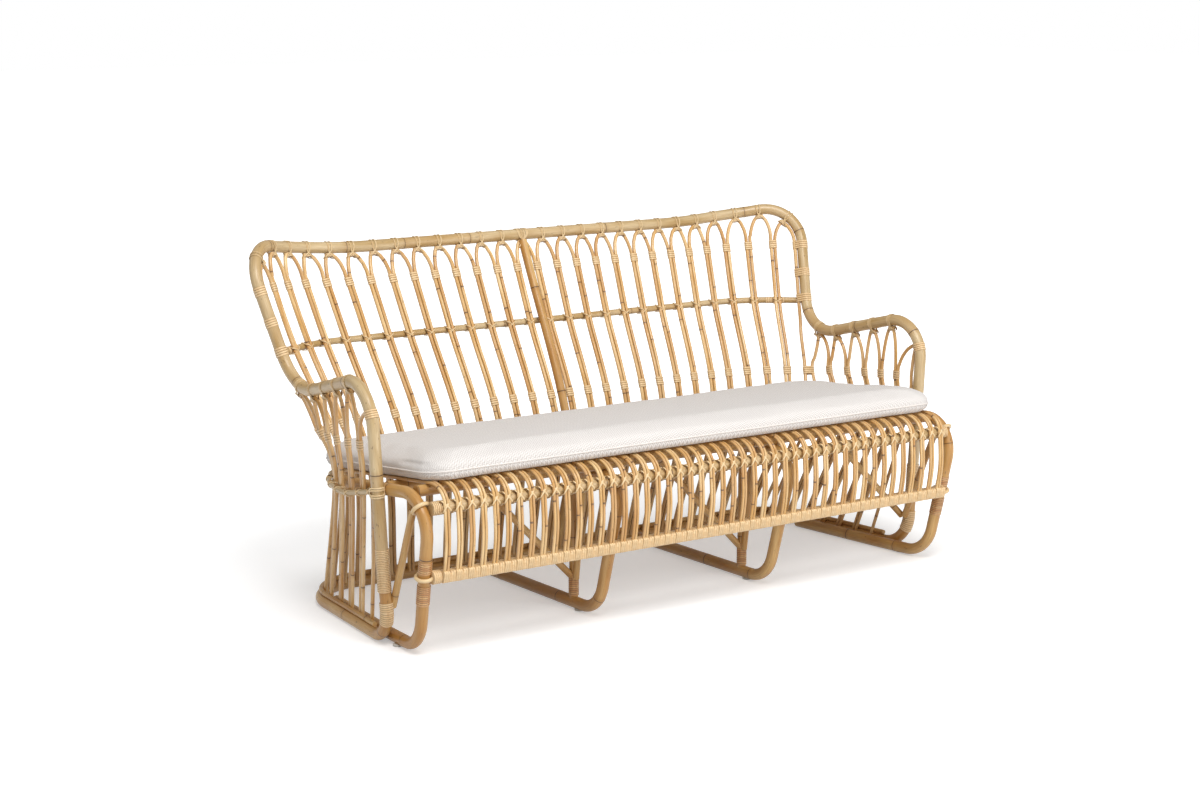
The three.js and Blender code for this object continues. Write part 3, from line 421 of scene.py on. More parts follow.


# Rattan: fibres run lengthwise, patches of greener and browner skin, every internode of its own
# tone, and a dark ring at each joint. Strip that is wound shows a dark line between its turns, partly
# dirt and partly painted shade
def rattan(name, look):
    finish, tree, shader = newFinish(name, look["roughness"], 0.5, look["coat"], 0.22)
    grain = addNode(tree, "Attribute", {"attribute_name": "grain"}, "Vector")
    clouds, shares = [], []
    for kind in ("fibre", "patch"):
        detail, rough, low, high = skinSizes[kind]
        across, length = 1 / (look[kind] * mm), 1 / (look[kind + "Run"] * mm)
        drawn = addNode(tree, "Mapping", Vector=grain, Scale=(across, across, length))
        clouds.append(addNode(tree, "TexNoise", Vector=drawn, Scale=1.0, Detail=detail,
                              Roughness=rough))
        shares.append(addNode(tree, "MapRange", Value=clouds[-1], From_Min=low, From_Max=high))
    fibres, (fibreShare, patchShare) = clouds[0], shares
    lines = addNode(tree, "Math", {"operation": "MULTIPLY"}, in0=fibreShare, in1=look["fibreShare"])
    layers = [(patchShare, look["deep"]), (lines, look["line"])]
    if look["wound"]:
        # marks count one turn every 6 mm, so the fraction is 0 or 1 between two turns
        far = addNode(tree, "SeparateXYZ", out=2, Vector=grain)
        count = addNode(tree, "Math", {"operation": "DIVIDE"}, in0=far, in1=turnMark)
        edge = addNode(tree, "Math", {"operation": "PINGPONG"}, in0=count, in1=0.5)
        # the groove colour is partly dirt and partly painted shade between the turns
        near, width, most, markColour = 0.03, look["grooveWidth"], look["grooveShare"], look["groove"]
    else:
        count = addNode(tree, "Attribute", {"attribute_name": "joint"}, "Fac")
        wobble = addNode(tree, "Math", {"operation": "MULTIPLY_ADD"}, in0=fibres, in1=0.006,
                         in2=count)
        edge = addNode(tree, "Math", {"operation": "PINGPONG"}, in0=wobble, in1=0.5)
        width, most, markColour = look["ringWidth"] / look["jointGap"], look["ringShare"], look["ring"]
        near = width * 0.3
        halo = addNode(tree, "MapRange", soft, Value=edge, From_Max=width * skinSizes["haloReach"],
                       To_Min=skinSizes["haloShare"], To_Max=0.0)
        layers.append((halo, look["halo"]))
    mark = addNode(tree, "MapRange", soft, Value=edge, From_Min=near, From_Max=width, To_Min=most,
                   To_Max=0.0)
    whole = addNode(tree, "Math", {"operation": "FLOOR"}, in0=count)
    chance = addNode(tree, "TexWhiteNoise", {"noise_dimensions": "1D"}, "Value", W=whole)
    tint = addNode(tree, "MapRange", Value=chance, To_Max=look["tintShare"])
    # painted shade: the side of a rod that lies against its neighbour is darkened where shade falls
    # between them, and so is the slit in the bottom rail's winding
    hidden = addNode(tree, "Attribute", {"attribute_name": "hidden"}, "Fac")
    shade = addNode(tree, "MapRange", Value=hidden, From_Min=0.72, From_Max=0.98, To_Max=0.8)
    # small dark specks drawn out along the skin
    drawn = addNode(tree, "Mapping", Vector=grain, Scale=(210.0, 210.0, 70.0))
    speck = addNode(tree, "TexNoise", Vector=drawn, Scale=1.0, Detail=1.0)
    specks = addNode(tree, "MapRange", Value=speck, From_Min=0.7, From_Max=0.76,
                     To_Max=look["specks"])
    layers += [(tint, look["tint"]), (mark, markColour), (shade, skinSizes["hidden"]),
               (specks, skinSizes["speck"])]
    skin = toLinear(look["pale"])
    for share, colour in layers:
        skin = addNode(tree, "Mix", blend, 2, in0=share, in6=skin, in7=toLinear(colour))
    high = addNode(tree, "Math", {"operation": "SUBTRACT"}, in0=fibreShare, in1=mark)
    bump = addNode(tree, "Bump", Strength=look["bump"], Distance=skinSizes["relief"], Height=high)
    rough = addNode(tree, "MapRange", Value=fibres, To_Min=look["roughness"] - 0.08,
                    To_Max=look["roughness"] + 0.1)
    wire(tree, shader, Base_Color=skin, Normal=bump, Roughness=rough)
    return finish


# Whole rattan pole, skin on, bent over steam and varnished: satin, greyish straw
poleLook = {"pale": "#d5bf96", "deep": "#b3945d", "line": "#886437", "halo": "#a98452",
            "ring": "#4a3019", "tint": "#b98f56", "tintShare": 0.45, "fibre": 2.2, "fibreRun": 45,
            "patch": 22, "patchRun": 170, "fibreShare": 0.35, "jointGap": 230, "ringWidth": 1.7,
            "ringShare": 0.85, "specks": 0.5, "bump": 0.35, "roughness": 0.42, "coat": 0.25,
            "wound": False}
# The lengths that stand lower down take a darker, browner copy of the pole finish: painted shade
# for the warmer, dimmer light low down
lowPoleLook = {**poleLook, "pale": "#dcb676", "deep": "#b98540", "line": "#875823", "halo": "#a6763a",
               "ring": "#42260f", "tint": "#ac7a3c", "tintShare": 0.6}
# Slim whole cane for the rods: warmer, glossier, each one of a slightly different brown
rodLook = {"pale": "#efcf99", "deep": "#d4a45d", "line": "#9f6f38", "halo": "#bb8a50",
           "ring": "#54331a", "tint": "#b98448", "tintShare": 0.6, "fibre": 1.6, "fibreRun": 40,
           "patch": 9, "patchRun": 90, "fibreShare": 0.3, "jointGap": 260, "ringWidth": 2.4,
           "ringShare": 0.85, "specks": 0.45, "bump": 0.3, "roughness": 0.34, "coat": 0.35,
           "wound": False}
# Split cane peel tied in single strands: flat glossy skin side out, cream
strandLook = {**rodLook, "pale": "#f0dab0", "deep": "#dfc08f", "line": "#c29a60", "halo": "#d8b880",
              "ring": "#8a6234", "tint": "#d8b682", "fibre": 1.1, "fibreRun": 30, "patch": 6,
              "patchRun": 60, "jointGap": 310, "ringWidth": 1.2, "ringShare": 0.4, "specks": 0.15,
              "roughness": 0.4, "coat": 0.2}
# Ties of the top rail and arms have yellowed like the pole under them
tieLook = {**strandLook, "pale": "#e6d0a4", "deep": "#cdae7c", "tint": "#bd9866"}
# The same peel wound close: beige, and the dark line between turns, partly dirt and partly painted
# shade, is drawn 1.5 mm wide so that it shows
woundLook = {**strandLook, "pale": "#efd5a8", "deep": "#dcb888", "line": "#c29860", "groove": "#8c6436",
             "tint": "#dfbd8c", "tintShare": 0.8, "grooveWidth": 0.24, "grooveShare": 0.75,
             "specks": 0.2, "bump": 0.4, "wound": True}
# Windings low on the legs and braces are redder and darker: a copy of the wound finish painted
# with shade for the warmer, dimmer light low down
lowWoundLook = {**woundLook, "pale": "#e3bd88", "deep": "#c9955c", "line": "#a87242",
                "groove": "#6f4522", "tint": "#b98250"}
poleFinish = rattan("varnished_rattan_pole", poleLook)
lowPoleFinish = rattan("varnished_rattan_pole_brown", lowPoleLook)
rodFinish = rattan("varnished_slim_cane", rodLook)
strandFinish = rattan("split_cane_peel_strand", strandLook)
tieFinish = rattan("split_cane_peel_tie", tieLook)
# The bottom rail's winding is beaten flat, so its turns hardly show
railWoundLook = {**woundLook, "grooveShare": 0.32, "grooveWidth": 0.16}
woundFinish = rattan("split_cane_peel_wound", woundLook)
railWoundFinish = rattan("split_cane_peel_wound_flat", railWoundLook)
lowWoundFinish = rattan("split_cane_peel_wound_brown", lowWoundLook)
print("cane finishes ready")

# Lines of the frame, as in the part's source
flat = lambda radius, sides=8: radius * math.cos(math.pi / sides)
floorCentre = flat(size["pole"])
footCentre = 4 + floorCentre
seatTilt = math.radians(size["seatSlope"])
slope = math.tan(seatTilt)
crossHeight = lambda y: size["seatFront"] - slope * (y - size["frontCross"])
seatStep = lambda distance: distance / math.cos(seatTilt)
midLoopHeight = lambda y: crossHeight(y) - seatStep(floorCentre + flat(size["cross"]) + size["fit"])
seatRodHeight = lambda y: crossHeight(y) + seatStep(flat(size["cross"]) + size["seatRod"] + size["fit"])
endLoopHeight = lambda y: seatRodHeight(y) - seatStep(size["seatRod"] + floorCentre + size["fit"])
aboveWaist = railHeight - waistHeight
recline = math.atan2(size["backTop"] - size["backWaist"], aboveWaist)
backUp = point(0, math.sin(recline), math.cos(recline))
backLine = lambda z: size["backWaist"] + math.tan(recline) * (z - waistHeight)
wingStart = lambda z: mix(size["wingLow"], size["wingTop"], (z - waistHeight) / aboveWaist)
wingReach = lambda x, z: max(0, abs(x) - wingStart(z))
backDepthAt = lambda x, z: backLine(z) - wingReach(x, z) ** 2 / (2 * size["wingCurve"])
backBend = lambda x, z: math.copysign(wingReach(x, z), x) / size["wingCurve"]
backAcross = lambda x, z: point(1, -backBend(x, z), 0).normalized()
halfPairs = 13
basePitch = (size["armHalf"] - size["baseInset"]) / halfPairs
backPitch = lambda z: mix(basePitch, size["topPitch"], z / railHeight)


def planPoint(distance, halfBack, depth, radius, sweep, inset, z):
    side = -1 if distance < 0 else 1
    s = abs(distance)
    if s <= halfBack:
        return point(side * s, depth - inset, z)
    angle = min((s - halfBack) / radius, sweep)
    past = max(0, s - halfBack - radius * sweep)
    x = halfBack + (radius - inset) * math.sin(angle) + past * math.cos(sweep)
    y = depth - radius + (radius - inset) * math.cos(angle) - past * math.sin(sweep)
    return point(side * x, y, z)


toe = math.radians(5.7)
baseSweep = math.pi / 2 - toe
basePlan = lambda s, inset, z: planPoint(s, size["baseHalfBack"], size["baseBack"],
                                         size["baseRadius"], baseSweep, inset, z)
waistPlan = lambda s, inset, z: planPoint(s, size["waistHalfBack"], size["backWaist"],
                                          size["waistRadius"], math.pi / 2, inset, z)
baseArcEnd = size["baseHalfBack"] + size["baseRadius"] * baseSweep
waistArcEnd = size["waistHalfBack"] + size["waistRadius"] * math.pi / 2
baseSide = basePlan(baseArcEnd, 0, 0)
basePlanAt = lambda y: baseArcEnd + (baseSide.y - y) / math.cos(toe)
sideShare = lambda y: min(1, max(0, 1 - y / size["sideStart"]))
waistLevel = lambda y: waistHeight + size["ringRise"] * sideShare(y)
postX = lambda z: mix(size["postLow"], size["postHigh"], z / size["armFront"])
topRise = lambda x: size["cornerRise"] * (max(0, abs(x) - size["riseStart"])
                                          / (size["cornerHalf"] - size["riseStart"])) ** 2
topRailPoint = lambda x: point(x, backDepthAt(x, railHeight), railHeight + topRise(x))
valleyCorner = point(822, 440, size["valley"])
topCorner = point(size["cornerHalf"], 573, railHeight + size["cornerRise"])
wingPoint = lambda share: topRailPoint(mix(size["cornerHalf"], size["wingTop"], share))
wingEnd = wingPoint(0.48)
splicePoint = point(postX(size["splice"]), 0, size["splice"])
besidePole = size["pole"] + size["backRod"] + 2 * size["fit"]

# Poles, each one bent cane
poleSizes = {"radius": 15.3, "onFloor": 14.9, "sides": 20, "jointGap": 230, "thin": 6.4,
             "thinSides": 10, "thinHeight": 35.6, "postTop": 97, "valley": 118, "corner": 105,
             "postFoot": 85, "foot": 90, "endKnee": 85, "midKnee": 60}


def drawPole(points, radius=poleSizes["radius"], sides=poleSizes["sides"]):
    return drawCane(placed(points), radius, sides, gap=poleSizes["jointGap"])


def drawThin(points):
    return drawPole(points, poleSizes["thin"], poleSizes["thinSides"])


def standing(points):
    return [point(p.x, p.y, max(p.z, poleSizes["onFloor"])) for p in points]


postCorner = point(size["armHalf"], 0, size["armFront"])
upperHalf = bent([(splicePoint, 0), (postCorner, poleSizes["postTop"]),
                  (valleyCorner, poleSizes["valley"]), (topCorner, poleSizes["corner"]), (wingEnd, 0)])
upperHalf += [wingPoint(0.48 + 0.052 * k) for k in range(1, 11)]
upperHalf += [topRailPoint(size["wingTop"] - 20 * k) for k in range(1, 31)]
upperLine = upperHalf + [topRailPoint(0)] + list(reversed(flip(upperHalf, -1)))
assemble([drawPole(upperLine)], "arms_and_top_rail", "rattan_pole", poleFinish, "upper_frame_pole")

floorCorner = point(basePlan(basePlanAt(0), 0, 0).x, 0, floorCentre)
baseHalf = bent([(splicePoint, 0), (floorCorner, poleSizes["postFoot"]),
                 (point(baseSide.x, baseSide.y, floorCentre), 0)])[:-1]
basePath = lambda z: [basePlan(mix(baseArcEnd, size["baseHalfBack"], k / 18), 0, z)
                      for k in range(19)]
baseHalf += basePath(floorCentre)
baseLine = baseHalf + [basePlan(0, 0, floorCentre)] + list(reversed(flip(baseHalf, -1)))
basePole = drawPole(standing(baseLine), poleSizes["onFloor"])
assemble([basePole], "base_pole_round_the_floor", "rattan_pole", lowPoleFinish, "base_pole")

thinPath = [basePlan(basePlanAt(85), 0, poleSizes["thinHeight"]), *basePath(poleSizes["thinHeight"])]
thinPath += list(reversed(flip(thinPath, -1)))
assemble([drawThin(thinPath)], "thin_pole_on_base", "rattan_pole", lowPoleFinish, "base_thin_pole")

ringOutset = 12.6
ringEnd = waistArcEnd + size["sideStart"] - 8
ringAlong = [mix(ringEnd, waistArcEnd, k / 8) for k in range(8)]
ringAlong += [mix(waistArcEnd, size["waistHalfBack"], k / 26) for k in range(27)]
ringPath = [waistPlan(s, -ringOutset, 0) for s in ringAlong]
ringPath += list(reversed(flip(ringPath, -1)))
for p in ringPath:
    p.z = waistLevel(p.y)
assemble([drawThin(ringPath)], "waist_ring_cane", "rattan_pole", poleFinish, "waist_ring")

endRunX = size["waistHalfBack"] + size["waistRadius"] - size["backRod"] - size["pole"] - size["fit"]
endLoopX = lambda z: mix(795, 812, (z - footCentre) / (size["seatFront"] - footCentre))
runnerInset = 2 * floorCentre + size["fit"]
endRun = lambda y: point(endRunX, y, endLoopHeight(y))
endKnee = endRun(-188)
endFoot = point(endLoopX(footCentre), -103, footCentre)
endPath = bent([(basePlan(baseArcEnd, runnerInset, floorCentre), 0),
                (basePlan(basePlanAt(85), runnerInset, floorCentre), 0),
                (endFoot, poleSizes["foot"]), (endKnee, poleSizes["endKnee"]), (endRun(76), 200),
                (waistPlan(waistArcEnd - 103.3, besidePole, endLoopHeight(255.3)), 0)])
legLean = math.radians(16.2)
lean = math.tan(legLean)
midLegDepth = lambda z: size["midFoot"] - lean * (z - footCentre)
kneeHeight = midLoopHeight(0) + slope * (-size["midFoot"] - lean * footCentre)
kneeHeight /= 1 - slope * lean
midKnee = point(size["midLoopX"], midLegDepth(kneeHeight), kneeHeight)
midEndY = backLine(midLoopHeight(size["backWaist"]) - size["pole"]) - 5.85
midFoot = point(size["midLoopX"], size["midFoot"], footCentre)
midEnd = point(size["midLoopX"], midEndY, midLoopHeight(midEndY))
midPath = bent([(point(size["midLoopX"], size["baseBack"] - runnerInset, floorCentre), 0),
                (midFoot, poleSizes["foot"]), (midKnee, poleSizes["midKnee"]), (midEnd, 0)])
hands = (("left", -1), ("right", 1))
for hand, side in hands:
    for place, path in (("end", endPath), ("middle", midPath)):
        loop = drawPole(standing(flip(path, side)), poleSizes["onFloor"])
        assemble([loop], f"leg_loop_{place}_{hand}", "rattan_pole", lowPoleFinish,
                 f"{place}_leg_loop_{hand}")

crossEnd = endRunX - size["pole"] - size["fit"]
rearDepth = backLine(crossHeight(size["backWaist"])) + size["backRod"] - 24 - size["cross"] - 0.6
rearEnd = size["waistHalfBack"] + math.sqrt(299.5 ** 2 - (rearDepth - size["sideStart"]) ** 2) - 31.3
crossEnds = {"front": (size["frontCross"], crossEnd), "middle": (size["midCross"], crossEnd),
             "rear": (rearDepth, rearEnd)}
for name, (y, end) in crossEnds.items():
    line = [point(end * (1 - k / 20), y, crossHeight(y)) for k in range(41)]
    assemble([drawPole(line, 13.8, 16)], f"seat_cross_{name}", "rattan_pole", lowPoleFinish,
             f"{name}_cross_pole")
print("poles bent")

# Rails of the seat front, with a hoop of slim cane round each end leg
railSizes = {"front": 15.2, "bottom": 12.8, "hoopCane": 4.8, "hoopReach": 19.8, "wrap": 14.9}
kneeCentre = bendCentre(midFoot, midKnee, midEnd, poleSizes["midKnee"])
onKnee = poleSizes["midKnee"] + 2 * floorCentre
frontRailDepth = kneeCentre.y - math.sqrt(onKnee ** 2 - (size["frontRail"] - kneeCentre.z) ** 2)
bottomRailDepth = midLegDepth(size["bottomRail"])
bottomRailDepth -= (floorCentre + flat(railSizes["wrap"])) / math.cos(legLean)


def hoop(legPath, height, reach, tilt):
    middle, axis = atHeight(legPath, height)
    place = facing(middle, axis, point(0, -1, 0))
    line = []
    for k in range(28):
        a = 2 * math.pi * k / 28
        spot = point(reach * math.cos(a), reach * math.sin(a), tilt * math.sin(a))
        line.append(place @ (spot * mm))
    return drawCane(line, railSizes["hoopCane"], 10, closed=True)


for name, node, depth, height, radius in (
        ("front_rail", "front_seat_rail", frontRailDepth, size["frontRail"], railSizes["front"]),
        ("bottom_rail", "front_bottom_rail", bottomRailDepth, size["bottomRail"], railSizes["bottom"])):
    end = endLoopX(height) - 15.6
    rail = drawPole([point(end * (1 - k / 20), depth, height) for k in range(41)], radius, 16)
    assemble([rail], name, "rattan_pole", poleFinish, node)
    hoops = [hoop(flip(endPath[:-2], side), height, railSizes["hoopReach"], 2) for side in (1, -1)]
    assemble(hoops, f"hoops_of_{name}", "cane_rod", strandFinish)


# Sides of the back: the outer rod follows the side pole up and round the inside of its corner
def sidePole(z, side):
    centre = valleyCorner.lerp(topCorner, (z - valleyCorner.z) / (topCorner.z - valleyCorner.z))
    return point(side * centre.x, centre.y, centre.z)


def sidePoleInner(z, side):
    return sidePole(z, side) + backAcross(side * valleyCorner.x, z) * (-side * besidePole)


cornerCentre = bendCentre(valleyCorner, topCorner, wingEnd, poleSizes["corner"])
cornerBend = bent([(valleyCorner, 0), (topCorner, poleSizes["corner"]), (wingEnd, 0)], 1)[1:-1]


def insideCorner(share, side, reach=besidePole):
    pole = cornerBend[round(share * (len(cornerBend) - 1))]
    centre = pole + (cornerCentre - pole).normalized() * reach
    return point(side * centre.x, centre.y, centre.z)


railEnd = sidePole(midHeight, 1).x - 8
away = (size["backRod"] + flat(9, 6) + 1.2) / math.cos(recline)


def behindRods(x):
    across = backAcross(x, midHeight)
    out = point(-across.y, across.x, 0)
    return point(x, backDepthAt(x, midHeight), midHeight) + out * away, across, out


midRailLine = [behindRods(railEnd * (1 - k / 40))[0] for k in range(81)]
assemble([drawPole(midRailLine, 8.8, 12)], "middle_rail_of_back", "rattan_pole", poleFinish,
         "mid_back_rail")

# Back rods stand on the base pole's shoulder, inside the thin pole
shoulder = floorCentre + size["pole"] / 2
thinCentre = 2 * floorCentre + flat(6.5, 6) + size["fit"]
footLean = (size["baseBack"] - size["backWaist"]) / (waistHeight - shoulder)
rodInset = flat(6.5, 6) + size["backRod"] + 5 * size["fit"] - footLean * (thinCentre - shoulder)
rodFoot = 22.1
forward = (12 - size["backRod"]) / math.cos(recline)
waistAt = lambda s, inset=0: waistPlan(s, inset, waistHeight)
postLine = through([basePlan(0, rodInset + forward, 24), waistAt(0, forward),
                    topRailPoint(0) - backUp * 16.5 + point(0, 1 - forward, 0)], 40)
assemble([drawPole(postLine, 11.8, 16)], "centre_post_of_back", "rattan_pole", lowPoleFinish,
         "centre_back_post")
print("rails set")

# Rods of the back: bound pairs that part at the upper binding and meet under the rail
backRods = {"radius": 5.2, "apart": 5.3, "sides": 8, "jointGap": 260, "turns": 4, "pitch": 6.0,
            "lower": 452, "part": 785, "sideJoin": 558.5}


def archTo(start, tie, towards, across):
    end = tie + across * towards
    up = end - start
    rise = up - across * up.dot(across)
    return [start + across * (up.dot(across) * sideways) + rise * upward
            for sideways, upward in ((0.06, 0.3), (0.24, 0.58), (0.58, 0.84), (1, 1))]


def pairReach(pair, z):
    draw = min(max(0, abs(pair) - 9.5) / 3, 1) ** 2 * 10
    return pair * backPitch(z) - math.copysign(draw, pair)


def tiePoint(index):
    if abs(index) < halfPairs:
        return topRailPoint(pairReach(index, railHeight)) - backUp * 17.4
    return insideCorner(0.5, math.copysign(1, index))


def backPath(pair):
    path = [basePlan(pairReach(pair, 0), rodInset, rodFoot), waistAt(pairReach(pair, waistHeight))]
    parting = backRods["part"] + topRise(pairReach(pair, backRods["part"])) * 0.5
    for z in (midHeight, parting):
        x = pairReach(pair, z)
        path.append(point(x, backDepthAt(x, z), z))
    return path


# Two rods that touch get painted shade where they face each other, up to where they part
def towardNeighbour(line, direction, partAt):
    return [direction(p) * smoothStep(p.z, partAt + 40, partAt - 10) for p in line]


def drawRod(line, sizes, toward=None):
    return drawCane(placed(line), sizes["radius"], sizes["sides"], sizes["jointGap"], toward=toward)


def outerRodLine(side):
    index = side * 13.1
    corners = [basePlan(index * basePitch, rodInset, rodFoot), waistAt(index * backPitch(waistHeight)),
               sidePoleInner(backRods["sideJoin"], side), sidePoleInner(midHeight, side)]
    return through(corners + [insideCorner(k / 8, side) for k in range(5)], 14)


def betweenLines(first, second, z):
    (a, alongA), (b, alongB) = atHeight(first, z), atHeight(second, z)
    return facing((a + b) / 2, alongA + alongB, b - a)


outerLines = {side: outerRodLine(side) for side in (-1, 1)}
bindingPlaces = []
crossings = []
for n in range(2 * halfPairs):
    pair = n + 0.5 - halfPairs
    path = backPath(pair)
    wrapAt = path[-1]
    across = backAcross(wrapAt.x, wrapAt.z)
    rods, lines = [], []
    beyond = lambda p: backAcross(p.x, max(p.z, waistHeight))
    for hand in (-1, 1):
        beside = [p + beyond(p) * (hand * backRods["apart"]) for p in path]
        beside += archTo(beside[-1], tiePoint(pair + hand / 2), -hand * backRods["apart"], across)
        line = through(beside, 14)
        toward = towardNeighbour(line, lambda p: beyond(p) * -hand, wrapAt.z)
        rods.append(drawRod(line, backRods, toward))
        lines.append(line)
    if abs(pair) > 12:
        line = outerLines[math.copysign(1, pair)]
        rods.append(drawRod(line, backRods))
    assemble(rods, f"back_rods_{n + 1:02d}", "cane_rod", rodFinish, f"back_rod_pair_{n + 1:02d}")
    bindingPlaces += [betweenLines(*lines, wrapAt.z - 6), betweenLines(*lines, backRods["lower"])]
    crossings.append(pairReach(pair, waistHeight))

pairLashing = lashing([(h * backRods["apart"], 0, backRods["radius"]) for h in (-1, 1)],
                      backRods["turns"], backRods["pitch"])
assemble(copies(pairLashing, bindingPlaces), "bindings_of_back_pairs", "cane_rod", woundFinish)
discard(pairLashing)
print("back rods bound")

# Ties under the top rail and the arms: strands over the pole, drawn together and crossed at the rods
tieSizes = {"width": 2.6, "thick": 0.8, "out": 16.4, "foot": 27}


def tieStrand(start, crossTo, pole=tieSizes["out"], foot=tieSizes["foot"], width=tieSizes["width"]):
    front = [(pole * 0.7, pole * 0.72, start), (0, pole, start),
             (-pole * 0.75, pole * 0.72, start * 0.6),
             (-pole * 1.12, 9.5, mix(start, crossTo, 0.5) * 0.4), (2 - foot, 8, crossTo * 0.7),
             (-foot - 2, 3.5, crossTo)]
    rear = [(up, -depth, along) for up, depth, along in reversed(front)]
    line = [point(up, depth, along) * mm for up, depth, along in front + rear + [(pole, 0, start)]]
    return drawCane(through(line, 5 * mm, closed=True), tieSizes["thick"], 4, closed=True, width=width,
                    upright=True)


railTie = joined([tieStrand(*ends) for ends in ((-5.0, 13), (5.0, -13))], "railTie")
knot = joined([lashing([(0, -4.5, 6.2), (0, 4.5, 6.2), (0, 0, 7.5)], 3, 3.4, 1.0, 0.8)], "knot")
tiePlaces, knotPlaces = [], []
for k in range(1 - halfPairs, halfPairs):
    x = pairReach(k, railHeight)
    along = topRailPoint(x + 5) - topRailPoint(x - 5)
    tiePlaces.append(facing(topRailPoint(x), along, backUp))
    knotPlaces.append(facing(topRailPoint(x) - backUp * 21, backUp, point(0, 1, 0)))
for side in (-1, 1):
    pole, inside = insideCorner(0.5, side, 0), insideCorner(0.5, side)
    along = insideCorner(0.55, side, 0) - insideCorner(0.45, side, 0)
    tiePlaces.append(facing(pole, along * side, pole - inside))
    knotPlaces.append(facing(pole.lerp(inside, 1.12), inside - pole, point(0, 1, 0)))
assemble(copies(railTie, tiePlaces), "ties_of_top_rail", "cane_rod", tieFinish)
postStrands = ((-15, 17), (-11, 12), (11, -12), (15, -17))
postTie = joined([tieStrand(start, cross, foot=36) for start, cross in postStrands], "postTie")
assemble(copies(postTie, [tiePlaces[halfPairs - 1]]), "tie_of_centre_post", "cane_rod", tieFinish)
discard(postTie)

# Bands that bind the outer rod to the side pole
bandSizes = {"heights": (792, 716, 646), "turns": 4, "pitch": 6.0}
band = lashing([(0, 0, poleSizes["radius"]), (besidePole, 0, backRods["radius"])],
               bandSizes["turns"], bandSizes["pitch"], sides=24)
places = []
for side in (-1, 1):
    for z in bandSizes["heights"]:
        along = sidePole(z + 5, side) - sidePole(z - 5, side)
        places.append(facing(sidePole(z, side), along, sidePoleInner(z, side) - sidePole(z, side)))
assemble(copies(band, places), "bands_of_side_poles", "cane_rod", woundFinish)
discard(band)


# Two closed strands that cross over a pole, and again over the pair of rods beyond it
def crossTie(pole, rods, half, spread, thick=1.0, width=1.4):
    top, near, far = pole + 0.9, -pole - 0.4, -rods - 1.1
    side = half + 1.2
    upper = [(top + 0.5, 0, 0), (top * 0.72, top * 0.7, spread * 0.6), (top * 0.1, top, side * 0.85),
             (near * 0.8, top * 0.85, side), (mix(near, far, 0.6), top * 0.75, side * 1.04),
             (far, top * 0.5, side * 0.6), (far - 0.6, 0, 0)]
    lower = [(x, -y, -z) for x, y, z in reversed(upper[1:-1])]
    strands = []
    for hand in (1, -1):
        line = [point(x, y, z * hand) * mm for x, y, z in upper + lower]
        strands.append(drawCane(through(line, 4 * mm, closed=True), thick, 4, closed=True, width=width))
    return joined(strands, "crossTie")


# The waist ring and the middle rail are tied at every crossing
ringTie = crossTie(6.4, 18.2, 10.5, 10)
railCross = crossTie(8.9, 19.5, 10.5, 11)
places = []
for at in crossings:
    ring = waistAt(at, -ringOutset)
    along = waistAt(at + 3, -ringOutset) - waistAt(at - 3, -ringOutset)
    places.append(facing(ring, along, ring - waistAt(at)))
assemble(copies(ringTie, places), "ties_of_waist_ring", "cane_rod", strandFinish)
places = []
for n in range(2 * halfPairs):
    places.append(facing(*behindRods(pairReach(n + 0.5 - halfPairs, midHeight))))
ends = [winding(midRailLine[2:5], 9.6), winding(midRailLine[-5:-2], 9.6)]
assemble(copies(railCross, places), "ties_of_middle_rail", "cane_rod", strandFinish)
assemble(ends, "windings_of_middle_rail", "cane_rod", woundFinish)
discard(railCross)

# Arms
armSizes = {"radius": 4.95, "apart": 5.05, "sides": 8, "jointGap": 260, "firstTie": 117,
            "tieDrop": 17.3, "pitch": 70.75, "postTie": 566, "wrapFront": 167, "wrapRear": 195,
            "rearGap": 31.5}


def armPoleAt(y, side):
    for a, b in zip(upperLine, upperLine[1:]):
        if b.y > y:
            centre = a.lerp(b, (y - a.y) / (b.y - a.y))
            return point(side * centre.x, y, centre.z)


armTieDepth = lambda i: armSizes["firstTie"] + (i - 1) * armSizes["pitch"]


def armTie(i, side):
    if i > 0:
        return armPoleAt(armTieDepth(i), side) - point(0, 0, armSizes["tieDrop"])
    post = atHeight(upperLine, armSizes["postTie"])[0]
    return point(side * post.x, post.y + armSizes["tieDrop"], post.z)


